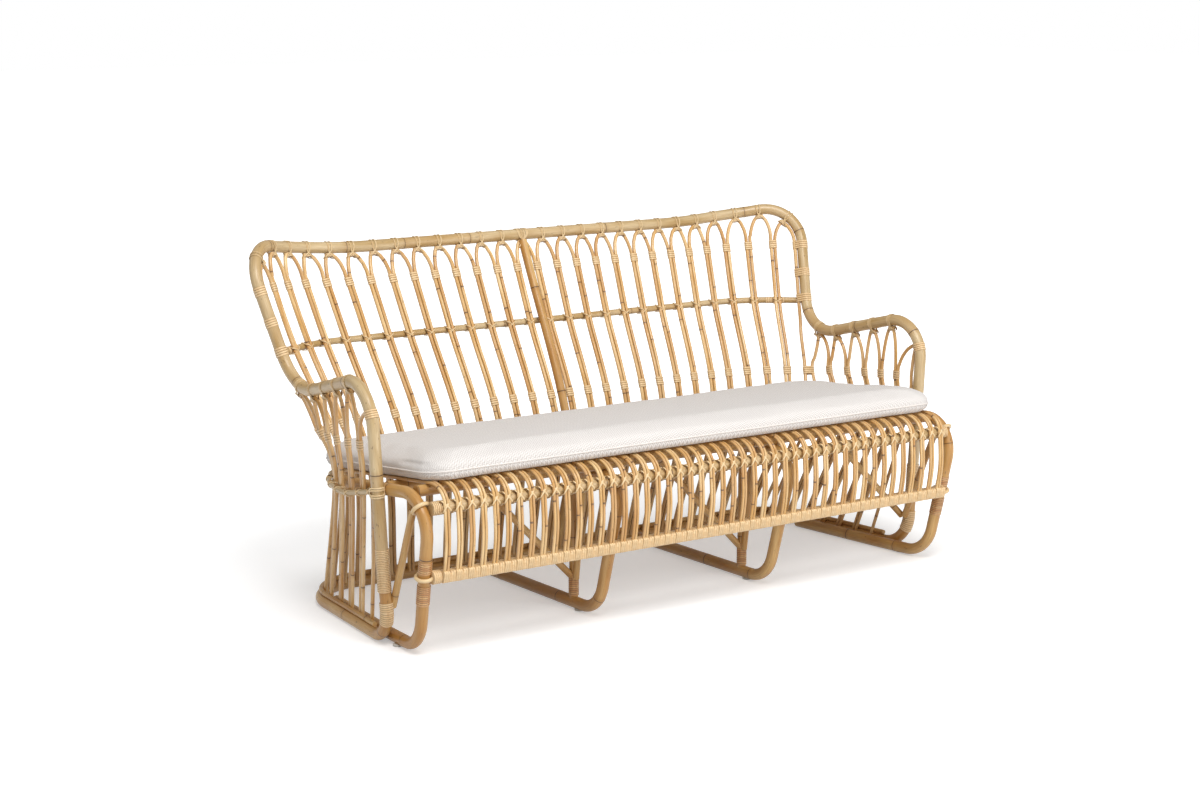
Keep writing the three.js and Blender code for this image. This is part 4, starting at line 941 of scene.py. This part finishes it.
frontWaist = waistArcEnd + size["sideStart"] - 31
rearWaist = halfPairs * backPitch(waistHeight) + armSizes["rearGap"]
frontBase, rearBase = basePlanAt(125), halfPairs * basePitch + armSizes["rearGap"]
armLashing = lashing([(h * armSizes["apart"], 0, armSizes["radius"]) for h in (-1, 1)], 4, 6.0)
armKnot = joined([lashing([(0, -3, 5.4), (0, 3, 5.4)], 3, 3.4, 1.0, 0.8)], "armKnot")
armStrands = [tieStrand(start, cross, width=3.4) for start, cross in ((-4, 10), (0, 0), (4, -10))]
armRailTie = joined(armStrands, "armRailTie")
singleTie = crossTie(6.4, 18.0, 5.0, 8)
postBand = lashing([(0, 0, 15.3), (armSizes["tieDrop"], 0, 5)], 4, 5.4, sides=24)
for hand, side in hands:
    rods, places, ringTies, singleTies = [], [], [], []
    for i in range(7):
        share = i / 6
        single = i in (0, 6)
        foot = basePlan(side * mix(frontBase, rearBase, share), rodInset, rodFoot)
        at = side * mix(frontWaist, rearWaist, share)
        waist = waistPlan(at, 0, 0)
        waist.z = waistLevel(waist.y)
        tangent = (waistPlan(at - 0.3, 0, 0) - waistPlan(at + 0.3, 0, 0)).normalized() * side
        top = armPoleAt(armTieDepth(i - 0.5), side) if i > 0 else armTie(0, side)
        wrapHeight = size["armFront"] - mix(armSizes["wrapFront"], armSizes["wrapRear"], share)
        wrap = waist.lerp(top, (wrapHeight - waist.z) / (top.z - waist.z))
        lines = []
        for h in (-1, 1):
            if single and (h > 0) != (i == 0):
                continue
            offset = 0 if single else h * armSizes["apart"]
            line = [foot + tangent * offset, waist + tangent * offset, wrap + point(0, offset, 0)]
            line += archTo(line[-1], armTie(i if h > 0 else i - 1, side), -h * 4.6, point(0, 1, 0))
            line = through(line, 12)
            toward = None
            if not single:
                across = lambda p: (point(0, 1, 0) if p.z > waist.z else tangent) * -h
                toward = towardNeighbour(line, across, wrap.z)
            rods.append(drawRod(line, armSizes, toward))
            lines.append(line)
        ring = waistPlan(at, -ringOutset, waist.z)
        crossing = facing(ring, tangent, ring - waist)
        if single:
            singleTies.append(crossing)
        else:
            places.append(betweenLines(*lines, wrap.z - 6))
            ringTies.append(crossing)
        rearLine = lines[0]
    assemble(rods, f"arm_rods_{hand}_round", "cane_rod", rodFinish, f"arm_rods_{hand}")
    ties, knots = [], []
    for i in range(1, 6):
        pole, down = armPoleAt(armTieDepth(i), side), armTie(i, side)
        along = armPoleAt(armTieDepth(i) + 5, side) - armPoleAt(armTieDepth(i) - 5, side)
        ties.append(facing(pole, along, point(0, 0, 1)))
        knots.append(facing(pole.lerp(down, 1.18), point(0, 0, 1), point(1, 0, 0)))
    assemble(copies(armRailTie, ties), f"ties_of_arm_{hand}", "cane_rod", tieFinish)
    post, up = atHeight(flip(upperLine, side), armSizes["postTie"] - 2)
    bound = copies(armLashing, places) + copies(armKnot, knots)
    bound += copies(postBand, [facing(post, up, point(0, 1, 0))])
    outer, inner = (atHeight(line, backRods["lower"])[0] for line in (outerLines[side], rearLine))
    apart = (outer - inner).length / 2
    rearBand = lashing([(-apart, 0, 5.2), (apart, 0, 5.0)], 4, 6.0)
    bound += copies(rearBand, [betweenLines(outerLines[side], rearLine, backRods["lower"])])
    discard(rearBand)
    assemble(bound, f"bindings_of_arm_{hand}", "cane_rod", woundFinish)
    bound = copies(ringTie, ringTies) + copies(singleTie, singleTies)
    assemble(bound, f"ties_of_ring_{hand}", "cane_rod", strandFinish)
assemble(copies(knot, knotPlaces), "knots_under_top_rail", "cane_rod", woundFinish)
discard(railTie, knot, armLashing, armKnot, armRailTie, singleTie, postBand, ringTie)
print("arms bound")

# Seat rods: 47 pairs up the apron, over the front rail and back
seatSizes = {"pairs": 47, "pitch": 33.2, "groups": 6, "radius": 3.95, "apart": 4.05, "sides": 8,
             "jointGap": 300}
apronTop = frontRailDepth - (floorCentre + 4 + 0.6)
apronFoot = bottomRailDepth - railSizes["wrap"] - 1
seatRunStart = frontRailDepth + 31 + 8
pairX = lambda i: (i - (seatSizes["pairs"] - 1) / 2) * seatSizes["pitch"]


def seatRodLine(x, backX):
    turnHeight = size["frontRail"] + 7.75
    rise, run = seatRodHeight(seatRunStart) - turnHeight, seatRunStart - apronTop
    line = through([point(x, apronFoot, 194), point(x, (apronFoot + apronTop) / 2 - 9, 282.5),
                    point(x, apronTop, turnHeight)], 16)
    for k in range(1, 8):
        angle = k / 8 * math.pi / 2
        line.append(point(x, seatRunStart - run * math.cos(angle), turnHeight + rise * math.sin(angle)))
    beyond = max(0, abs(backX) + 8 - size["waistHalfBack"])
    back = size["sideStart"] + math.sqrt(289 ** 2 - beyond ** 2) - 7
    depths = [mix(seatRunStart, back, k / 8) for k in range(9)]
    return line + [point(x, y, seatRodHeight(y)) for y in depths]


firstPair = 0
for group in range(seatSizes["groups"]):
    nextPair = math.floor((group + 1) * seatSizes["pairs"] / seatSizes["groups"] + 0.5)
    rods = []
    for i in range(firstPair, nextPair):
        for h in (-1, 1):
            line = seatRodLine(pairX(i) + h * seatSizes["apart"], pairX(i))
            # each seat rod takes painted shade on the side that faces its partner
            rods.append(drawRod(line, seatSizes, [point(-h, 0, 0)] * len(line)))
    assemble(rods, f"seat_rods_round_{group + 1}", "cane_rod", rodFinish, f"seat_rods_{group + 1}")
    firstPair = nextPair


# Strand round a pole: it crosses from side to side in front and lifts over what it binds there
def tiltedTurn(pole, side, width, lift=0.0, middle=0.0, shift=0.0):
    points = []
    for k in range(30):
        a = 2 * math.pi * k / 30
        out = pole + 0.9 + lift * smoothStep(math.cos(a), 0.62, 0.86)
        along = shift + side * max(-1, min(1, 2.0 * math.sin(a)))
        points.append(point(out * math.cos(a + middle), out * math.sin(a + middle), along) * mm)
    return drawCane(points, 0.8, 4, closed=True, width=width, upright=True)


def alongRail(depth, height, outward):
    return [facing(point(pairX(i), depth, height), point(1, 0, 0), outward)
            for i in range(seatSizes["pairs"])]


seatTie = joined([tiltedTurn(railSizes["front"], side, 2.8, lift, -0.2)
                  for side, lift in ((10.2, 7.8), (-10.2, 8.6))], "seatTie")
places = alongRail(frontRailDepth, size["frontRail"], point(0, -1, 0.15))
assemble(copies(seatTie, places), "ties_of_front_rail", "cane_rod", strandFinish)
discard(seatTie)

# Bottom rail: strip wound tight over the rail and the feet of the rods, three turns over each pair and
# three between, with a slit beside the pair
wrapSizes = {"turns": 6, "over": (1, 1, 1, 0.55, 0.3, 0.55), "ridge": 0.8, "slit": 5.0, "sides": 24}
pitch = seatSizes["pitch"]
rings, sunk = [], {}
for turn in range(wrapSizes["turns"]):
    share = wrapSizes["over"][turn]
    feet = [(0, 0, 13.3), (mix(13.0, 21.0, share), mix(-7, -10, share), 4.4),
            (mix(14.5, 15.9, share), 8.4, 4.4)]
    for step, depth in ridge:
        slit = {0.04: 1, 0.2: 1, 0.5: 0.7}.get(step, 0) if turn == 3 else 0
        line = []
        hull = tightLine(feet, 1.3 - wrapSizes["ridge"] * depth, wrapSizes["sides"])
        for k, (x, y) in enumerate(hull):
            inFront = smoothStep(math.cos(2 * math.pi * k / len(hull) + 0.75), 0.55, 0.85)
            deep = min(slit * inFront * wrapSizes["slit"], math.hypot(x, y) - 13.1)
            kept = 1 - deep / math.hypot(x, y)
            line.append((x * kept, y * kept))
            # the slit takes painted shade on top of its real depth
            sunk[len(rings), k] = slit * inFront
        rings.append(((turn + step - 1.5) * pitch / wrapSizes["turns"], turn + step, line))
rings.append((pitch * 0.75, 6, rings[0][2]))
railWrap = sleeve(rings, sunk)
wraps = copies(railWrap, alongRail(bottomRailDepth, size["bottomRail"], point(0, -1, 0)))
for side, past in ((-1, 8), (1, 24)):
    ends = pairX(seatSizes["pairs"] - 1) + past, endLoopX(size["bottomRail"]) - 10
    line = [point(side * x, bottomRailDepth - 2.5, size["bottomRail"]) for x in ends]
    wraps.append(winding(line, 16.6, pitch=5.2))
assemble(wraps, "winding_of_bottom_rail", "wrapped_rail", railWoundFinish)
discard(railWrap)
wound = []
for side in (-1, 1):
    ends = endLoopX(size["frontRail"]) - 50, endLoopX(size["frontRail"]) - 16
    line = [point(side * x, frontRailDepth, size["frontRail"]) for x in ends]
    wound.append(winding(line, 16.6, pitch=5.2))
assemble(wound, "windings_of_front_rail", "wrapped_rail", woundFinish)
print("seat rods laid")

# Windings of the end legs, above and below the bottom rail's hoop
for hand, side in hands:
    leg = flip(endPath[:-2], side)
    pieces = [winding(stretch(leg, 132, 181), 16.4), winding(stretch(leg, 211, 241), 16.4)]
    assemble(pieces, f"windings_of_leg_{hand}", "cane_rod", lowWoundFinish)

# Posts and braces under the seat
braceSizes = {"cane": 8.8, "sides": 12, "postFoot": (34.2, 94), "armFoot": (58, 112),
              "splice": (138, 242)}
innerX = atHeight(baseHalf, 78)[0].x - size["pole"]
endCentre = bendCentre(point(endRunX, endFoot.y, footCentre), endKnee, endRun(0), poleSizes["endKnee"])
mid = size["midCross"]


def straight(a, b):
    return [a.lerp(b, k / 10) for k in range(11)]


def drawBrace(a, b):
    return drawPole(straight(a, b), braceSizes["cane"], braceSizes["sides"])


for hand, side in hands:
    x = side * size["midLoopX"]
    rise = crossHeight(mid) - 7 - 78
    strutTop = -11.5
    pieces = [drawPole(straight(point(x, mid, 20), point(x, mid, midLoopHeight(mid) - 4)), 11.4, 16),
              drawBrace(point(x, mid, 78), point(x - rise, mid, 78 + rise)),
              drawBrace(point(x, 27, 78), point(x, strutTop, midLoopHeight(strutTop) - 4))]
    assemble(pieces, f"post_and_brace_{hand}", "rattan_pole", lowPoleFinish, f"middle_post_{hand}")
    low, high = braceSizes["postFoot"]
    wound = winding([point(x, mid, low), point(x, mid, high)], 13.2)
    assemble([wound], f"binding_of_post_{hand}", "cane_rod", lowWoundFinish)

    rise = crossHeight(mid) - 7 - 108
    strutEnd = point(side * endCentre.x, endCentre.y - 42.5, endCentre.z + 76.5)
    strut = straight(point(side * innerX, 0, 99), strutEnd)[:-1]
    pieces = [drawPole(strut, braceSizes["cane"], braceSizes["sides"])]
    if side > 0:
        pieces.append(drawBrace(point(innerX, 12, 99), point(innerX - rise, mid, 108 + rise)))
    assemble(pieces, f"braces_of_end_{hand}", "rattan_pole", lowPoleFinish, f"end_brace_{hand}")
    post = [p for p in flip(baseHalf, side) if p.z > 30]
    splice = [point(side * postX(z), 0, z) for z in braceSizes["splice"]]
    pieces = [winding(stretch(post, *braceSizes["armFoot"]), 17.0), winding(splice, 17.0, pitch=4.2)]
    assemble(pieces, f"windings_of_arm_post_{hand}", "cane_rod", woundFinish)

    # the ring's end is lashed to the post crosswise
    height = waistLevel(8)
    ends = [tiltedTurn(15.6, tilt, 2.4, 3.0, 0, shift) for tilt in (9, -9) for shift in (-2.6, 2.6)]
    pattern = joined(ends, "postCross")
    spot, up = atHeight(flip(upperLine, side), height)
    bound = copies(pattern, [facing(spot, up, point(side, 0.6, 0))])
    assemble(bound, f"cross_of_arm_post_{hand}", "cane_rod", strandFinish)
    discard(pattern)
print("posts and braces bound")

# Glides
glideSizes = {"radius": 12, "high": 6, "edge": 1.4}
rubber, tree, shader = newFinish("moulded_rubber_pad", 0.6)    # matt, pale grey, faintly uneven
tone = addNode(tree, "TexNoise", Scale=400.0, Detail=2.0)
grey = addNode(tree, "Mix", blend, 2, in0=tone, in6=toLinear("#d8d6d0"), in7=toLinear("#c9c6bf"))
bump = addNode(tree, "Bump", Strength=0.2, Distance=0.0003, Height=tone)
wire(tree, shader, Base_Color=grey, Normal=bump)
for hand, side in hands:
    for place, x, y in (("end", endFoot.x, 0), ("middle", size["midLoopX"], 12)):
        spot = placed([point(side * x, y, glideSizes["high"] / 2)])[0]
        choose()
        bpy.ops.mesh.primitive_cylinder_add(vertices=28, radius=glideSizes["radius"] * mm,
                                            depth=glideSizes["high"] * mm, location=spot)
        editAll()
        bpy.ops.mesh.select_mode(type="EDGE")
        bpy.ops.mesh.bevel(offset=glideSizes["edge"] * mm, segments=3, affect="EDGES")
        bpy.ops.object.mode_set(mode="OBJECT")
        bpy.ops.object.transform_apply(location=True, rotation=True, scale=True)
        assemble([bpy.context.object], f"pad_{place}_{hand}", "glide", rubber, f"{place}_glide_{hand}")

# Cushion: a plane with rounded corners, drawn up ring by ring, then blown out as cloth
cushionSizes = {"half": 796, "halfDepth": 293, "frontCorner": 70, "backCorner": 245, "voxel": 9,
                "pressure": 4.0, "cap": 14, "top": 68, "seam": 21, "seamDepth": 3.0, "welt": 2.1,
                "centreY": 129}
padRings = ((70, 0), (18, 0.6), (7, 5), (2, 13), (0, 24), (2, 35), (9, 44), (26, 50), (60, 54),
            (150, 59), (240, 62))
half, halfDepth = cushionSizes["half"] * mm, cushionSizes["halfDepth"] * mm
choose()
bpy.ops.mesh.primitive_plane_add(size=2, location=(0, 0, 0))
cushion = bpy.context.object
cushion.name = cushion.data.name = "long_seat_cushion"
editAll()
bpy.ops.transform.resize(value=(half, halfDepth, 1), center_override=(0, 0, 0))
for front in (True, False):
    bpy.ops.object.mode_set(mode="OBJECT")
    for vertex in cushion.data.vertices:
        vertex.select = (vertex.co.y < 0) == front and abs(abs(vertex.co.x) - half) < mm
    bpy.ops.object.mode_set(mode="EDIT")
    bpy.ops.mesh.select_mode(type="VERT")
    radius = cushionSizes["frontCorner" if front else "backCorner"]
    bpy.ops.mesh.bevel(offset=radius * mm, segments=10, affect="VERTICES")
bpy.ops.mesh.select_all(action="SELECT")
was, height = (1, 1), padRings[0][1]
for inset, nextHeight in padRings:
    share = [1 - inset * mm / reach for reach in (half, halfDepth)]
    if nextHeight > height:
        rise = {"value": (0, 0, (nextHeight - height) * mm)}
        bpy.ops.mesh.extrude_region_move(TRANSFORM_OT_translate=rise)
    bpy.ops.transform.resize(value=(share[0] / was[0], share[1] / was[1], 1), center_override=(0, 0, 0))
    was, height = share, nextHeight
bpy.ops.mesh.select_all(action="SELECT")
bpy.ops.mesh.normals_make_consistent(inside=False)
bpy.ops.object.mode_set(mode="OBJECT")
cushion.data.remesh_voxel_size = cushionSizes["voxel"] * mm
bpy.ops.object.voxel_remesh()
print("cushion cut:", len(cushion.data.vertices), "points")

rest = [vertex.co.copy() for vertex in cushion.data.vertices]
cloth = cushion.modifiers.new("blown", "CLOTH")
cloth.settings.use_pressure = True
cloth.settings.uniform_pressure_force = cushionSizes["pressure"]
cloth.settings.effector_weights.gravity = 0
for step in range(1, 21):
    bpy.context.scene.frame_set(step)
bpy.ops.object.modifier_apply(modifier=cloth.name)
bpy.context.scene.frame_set(1)
for vertex, was in zip(cushion.data.vertices, rest):
    moved = vertex.co - was
    if moved.length > cushionSizes["cap"] * mm:
        vertex.co = was + moved.normalized() * cushionSizes["cap"] * mm
print("cushion filled")

# It lies flat on the rods, its cloth lies in slow waves, and it is pinched in at the front corners
for vertex in cushion.data.vertices:
    x, y, z = (value / mm for value in vertex.co)
    wave = noise.noise(Vector((x / 150, y / 95, 3.1))) * 3.2
    wave += noise.noise(Vector((x / 60, y / 40, 7.7)))
    share = smoothStep(z, 25, 48)
    z = min(z + wave * share, cushionSizes["top"])
    y += noise.noise(Vector((x / 130, 1.7, 5.0))) * 3.0 * smoothStep(-y, 240, 280)
    fromEnd, fromFront = cushionSizes["half"] - abs(x), y + cushionSizes["halfDepth"]
    crease = math.exp(-((z - 39) / 5) ** 2) * smoothStep(fromEnd, 40, 10)
    crease *= smoothStep(fromFront, 190, 130) * smoothStep(fromFront, 20, 50)
    x -= math.copysign(crease * 8, x)
    seam = math.exp(-((z - cushionSizes["seam"]) / 4) ** 2) * cushionSizes["seamDepth"]
    out = Vector((x, y)) - Vector((math.copysign(max(0, abs(x) - 60), x) * 0.96, y * 0.2))
    out.normalize()
    vertex.co = ((x - out.x * seam) * mm, (y - out.y * seam) * mm, max(z, 0) * mm)
smooth = cushion.modifiers.new("smooth", "SUBSURF")
smooth.levels = smooth.render_levels = 1
bpy.ops.object.modifier_apply(modifier=smooth.name)
bpy.ops.object.shade_smooth()

# The welt follows the seam all round: each point is found on the side of the pad
weltLine = []
for k in range(420):
    a = 2 * math.pi * k / 420
    spot = Vector((math.cos(a) * 1.5, math.sin(a) * 1.5, cushionSizes["seam"] * mm))
    towards = Vector((math.cos(a) * 0.55, 0, spot.z)) - spot
    where, normal = cushion.ray_cast(spot, towards)[1:3]
    weltLine.append(where + normal * 0.4 * mm)
welt = drawCane(weltLine, cushionSizes["welt"], 6, closed=True)

# Cloth runs over the edges: the weave's two directions are unrolled down the sides
weave = []
for vertex in cushion.data.vertices:
    down = vertex.co.z - cushionSizes["top"] * mm
    weave += [vertex.co.x * (1 - down / half), vertex.co.y * (1 - down / halfDepth), 0]
record(cushion.data, "weave", weave)

# Acrylic yarn woven in a broken twill: dull, fine diamonds, warm off-white. The yarn is 1 mm and the
# diamonds 2.5 mm across, drawn 6.5 mm wide so that they show
weaveSizes = {"diamond": 6.5, "slubs": 0.45}
fabric, tree, shader = newFinish("woven_acrylic_twill", 0.92, 0.25, sheen=0.15)
place = addNode(tree, "Attribute", {"attribute_name": "weave"}, "Vector")
ways = []
for way in (0, 1):
    split = addNode(tree, "SeparateXYZ", out=way, Vector=place)
    ways.append(addNode(tree, "Math", {"operation": "DIVIDE"}, in0=split,
                        in1=weaveSizes["diamond"] * mm))
zigzag = addNode(tree, "Math", {"operation": "PINGPONG"}, in0=ways[0], in1=1.0)
climb = addNode(tree, "Math", {"operation": "ADD"}, in0=ways[1], in1=zigzag)
turnOver = addNode(tree, "Math", {"operation": "MULTIPLY"}, in0=climb, in1=2 * math.pi)
twill = addNode(tree, "Math", {"operation": "SINE"}, in0=turnOver)
twillShare = addNode(tree, "MapRange", Value=twill, From_Min=-1.0, From_Max=1.0)
yarnMap = addNode(tree, "Mapping", Vector=place, Scale=(700.0, 260.0, 1.0))
slubs = addNode(tree, "TexNoise", Vector=yarnMap, Scale=1.0, Detail=2.0)
slubShare = addNode(tree, "MapRange", Value=slubs, From_Min=0.3, From_Max=0.7)
pattern = addNode(tree, "Math", {"operation": "MULTIPLY_ADD"}, in0=slubShare,
                  in1=weaveSizes["slubs"], in2=twillShare)
share = addNode(tree, "MapRange", Value=pattern, From_Max=1 + weaveSizes["slubs"])
colour = addNode(tree, "Mix", blend, 2, in0=share, in6=toLinear("#beb6b0"), in7=toLinear("#f2efec"))
bump = addNode(tree, "Bump", Strength=0.5, Distance=0.0008, Height=pattern)
wire(tree, shader, Base_Color=colour, Normal=bump)

# The piping is the same yarn, plain woven
piping, tree, shader = newFinish("woven_acrylic_piping", 0.9, 0.25, sheen=0.15)
place = addNode(tree, "TexCoord", out="Object")
yarn = addNode(tree, "TexNoise", Vector=place, Scale=420.0, Detail=2.0)
colour = addNode(tree, "Mix", blend, 2, in0=yarn, in6=toLinear("#d3cac3"), in7=toLinear("#f3efeb"))
bump = addNode(tree, "Bump", Strength=0.4, Distance=0.0005, Height=yarn)
wire(tree, shader, Base_Color=colour, Normal=bump)

lift = seatRodHeight(cushionSizes["centreY"]) + seatStep(4.3)
seatPlane = Matrix.Translation((0, cushionSizes["centreY"] * mm + shiftY, lift * mm))
seatPlane @= Matrix.Rotation(-seatTilt, 4, "X")
for piece in (cushion, welt):
    piece.data.transform(seatPlane)
dress(cushion, "cushion_fabric", fabric, "seat_cushion")
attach(cushion, "cushion")
assemble([welt], "seam_of_cushion", "cushion_fabric", piping)
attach(welt, "cushion")
print("cushion made")

# Floor: white paper that still takes the sofa's shadow. The camera sees it shine a little by itself,
# more with the distance, so that it reads white without more light on the sofa
floorSizes = {"side": 60, "own": 0.38, "near": 0.8, "far": 1.9}
choose()
bpy.ops.mesh.primitive_plane_add(size=floorSizes["side"], location=(0, 0, 0))
floor = bpy.context.object
floor.name = "studio_floor"
paper, tree, shader = newFinish("matt_white_studio_paper", 0.9, 0.1)
shader.inputs["Base Color"].default_value = toLinear("#e4e4e4")
rays = [addNode(tree, "LightPath", out=f"Is {kind} Ray") for kind in ("Camera", "Glossy")]
seen = addNode(tree, "Math", {"operation": "MAXIMUM"}, in0=rays[0], in1=rays[1])
spot = addNode(tree, "TexCoord", out="Object")
far = addNode(tree, "VectorMath", {"operation": "LENGTH"}, "Value", in0=spot)
level = addNode(tree, "MapRange", soft, Value=far, From_Min=floorSizes["near"],
                From_Max=floorSizes["far"], To_Min=floorSizes["own"], To_Max=1.0)
own = addNode(tree, "Math", {"operation": "MULTIPLY"}, in0=seen, in1=level)
shine = addNode(tree, "Emission", Color=(1, 1, 1, 1), Strength=own)
both = addNode(tree, "AddShader", in0=shader.outputs[0], in1=shine)
wire(tree, tree.nodes["Material Output"], Surface=both)
floor.data.materials.append(paper)

# Light: an even pale room, a soft key high in front on the left and a low weaker fill on the right
lightSizes = {"air": 0.44, "key": 240, "keySide": 2.4, "fill": 95, "fillSide": 3.0}
world = bpy.data.worlds.new("studio_air")
bpy.context.scene.world = world
world.use_nodes = True
tree = world.node_tree
air = tree.nodes["Background"]
air.inputs["Color"].default_value = (1, 1, 1, 1)
seen = addNode(tree, "LightPath", out="Is Camera Ray")
level = addNode(tree, "MapRange", Value=seen, To_Min=lightSizes["air"], To_Max=1.0)
wire(tree, air, Strength=level)
for name, spot in (("key", (-1.2, -3.2, 5.3)), ("fill", (1.6, -5.0, 1.9))):
    bpy.ops.object.light_add(type="AREA", location=spot)
    lamp = bpy.context.object
    lamp.name = f"soft_{name}"
    lamp.data.size = lightSizes[f"{name}Side"]
    lamp.data.energy = lightSizes[name]
    lamp.rotation_euler = (Vector((0, 0, 0.4)) - Vector(spot)).to_track_quat("-Z", "Y").to_euler()

cameraSizes = {"x": -3.4225, "y": -4.6316, "z": 1.5808, "down": 10.55, "turn": 34.73, "lens": 69.63}
spot = cameraSizes["x"], cameraSizes["y"] + shiftY, cameraSizes["z"]
aim = math.radians(90 - cameraSizes["down"]), 0, -math.radians(cameraSizes["turn"])
bpy.ops.object.camera_add(location=spot, rotation=aim)
camera = bpy.context.object
camera.data.lens = cameraSizes["lens"]
camera.data.sensor_width = 36
camera.data.clip_end = 100
bpy.context.scene.camera = camera
bpy.context.scene.view_settings.view_transform = "Standard"
print("stage, lamps and camera set")
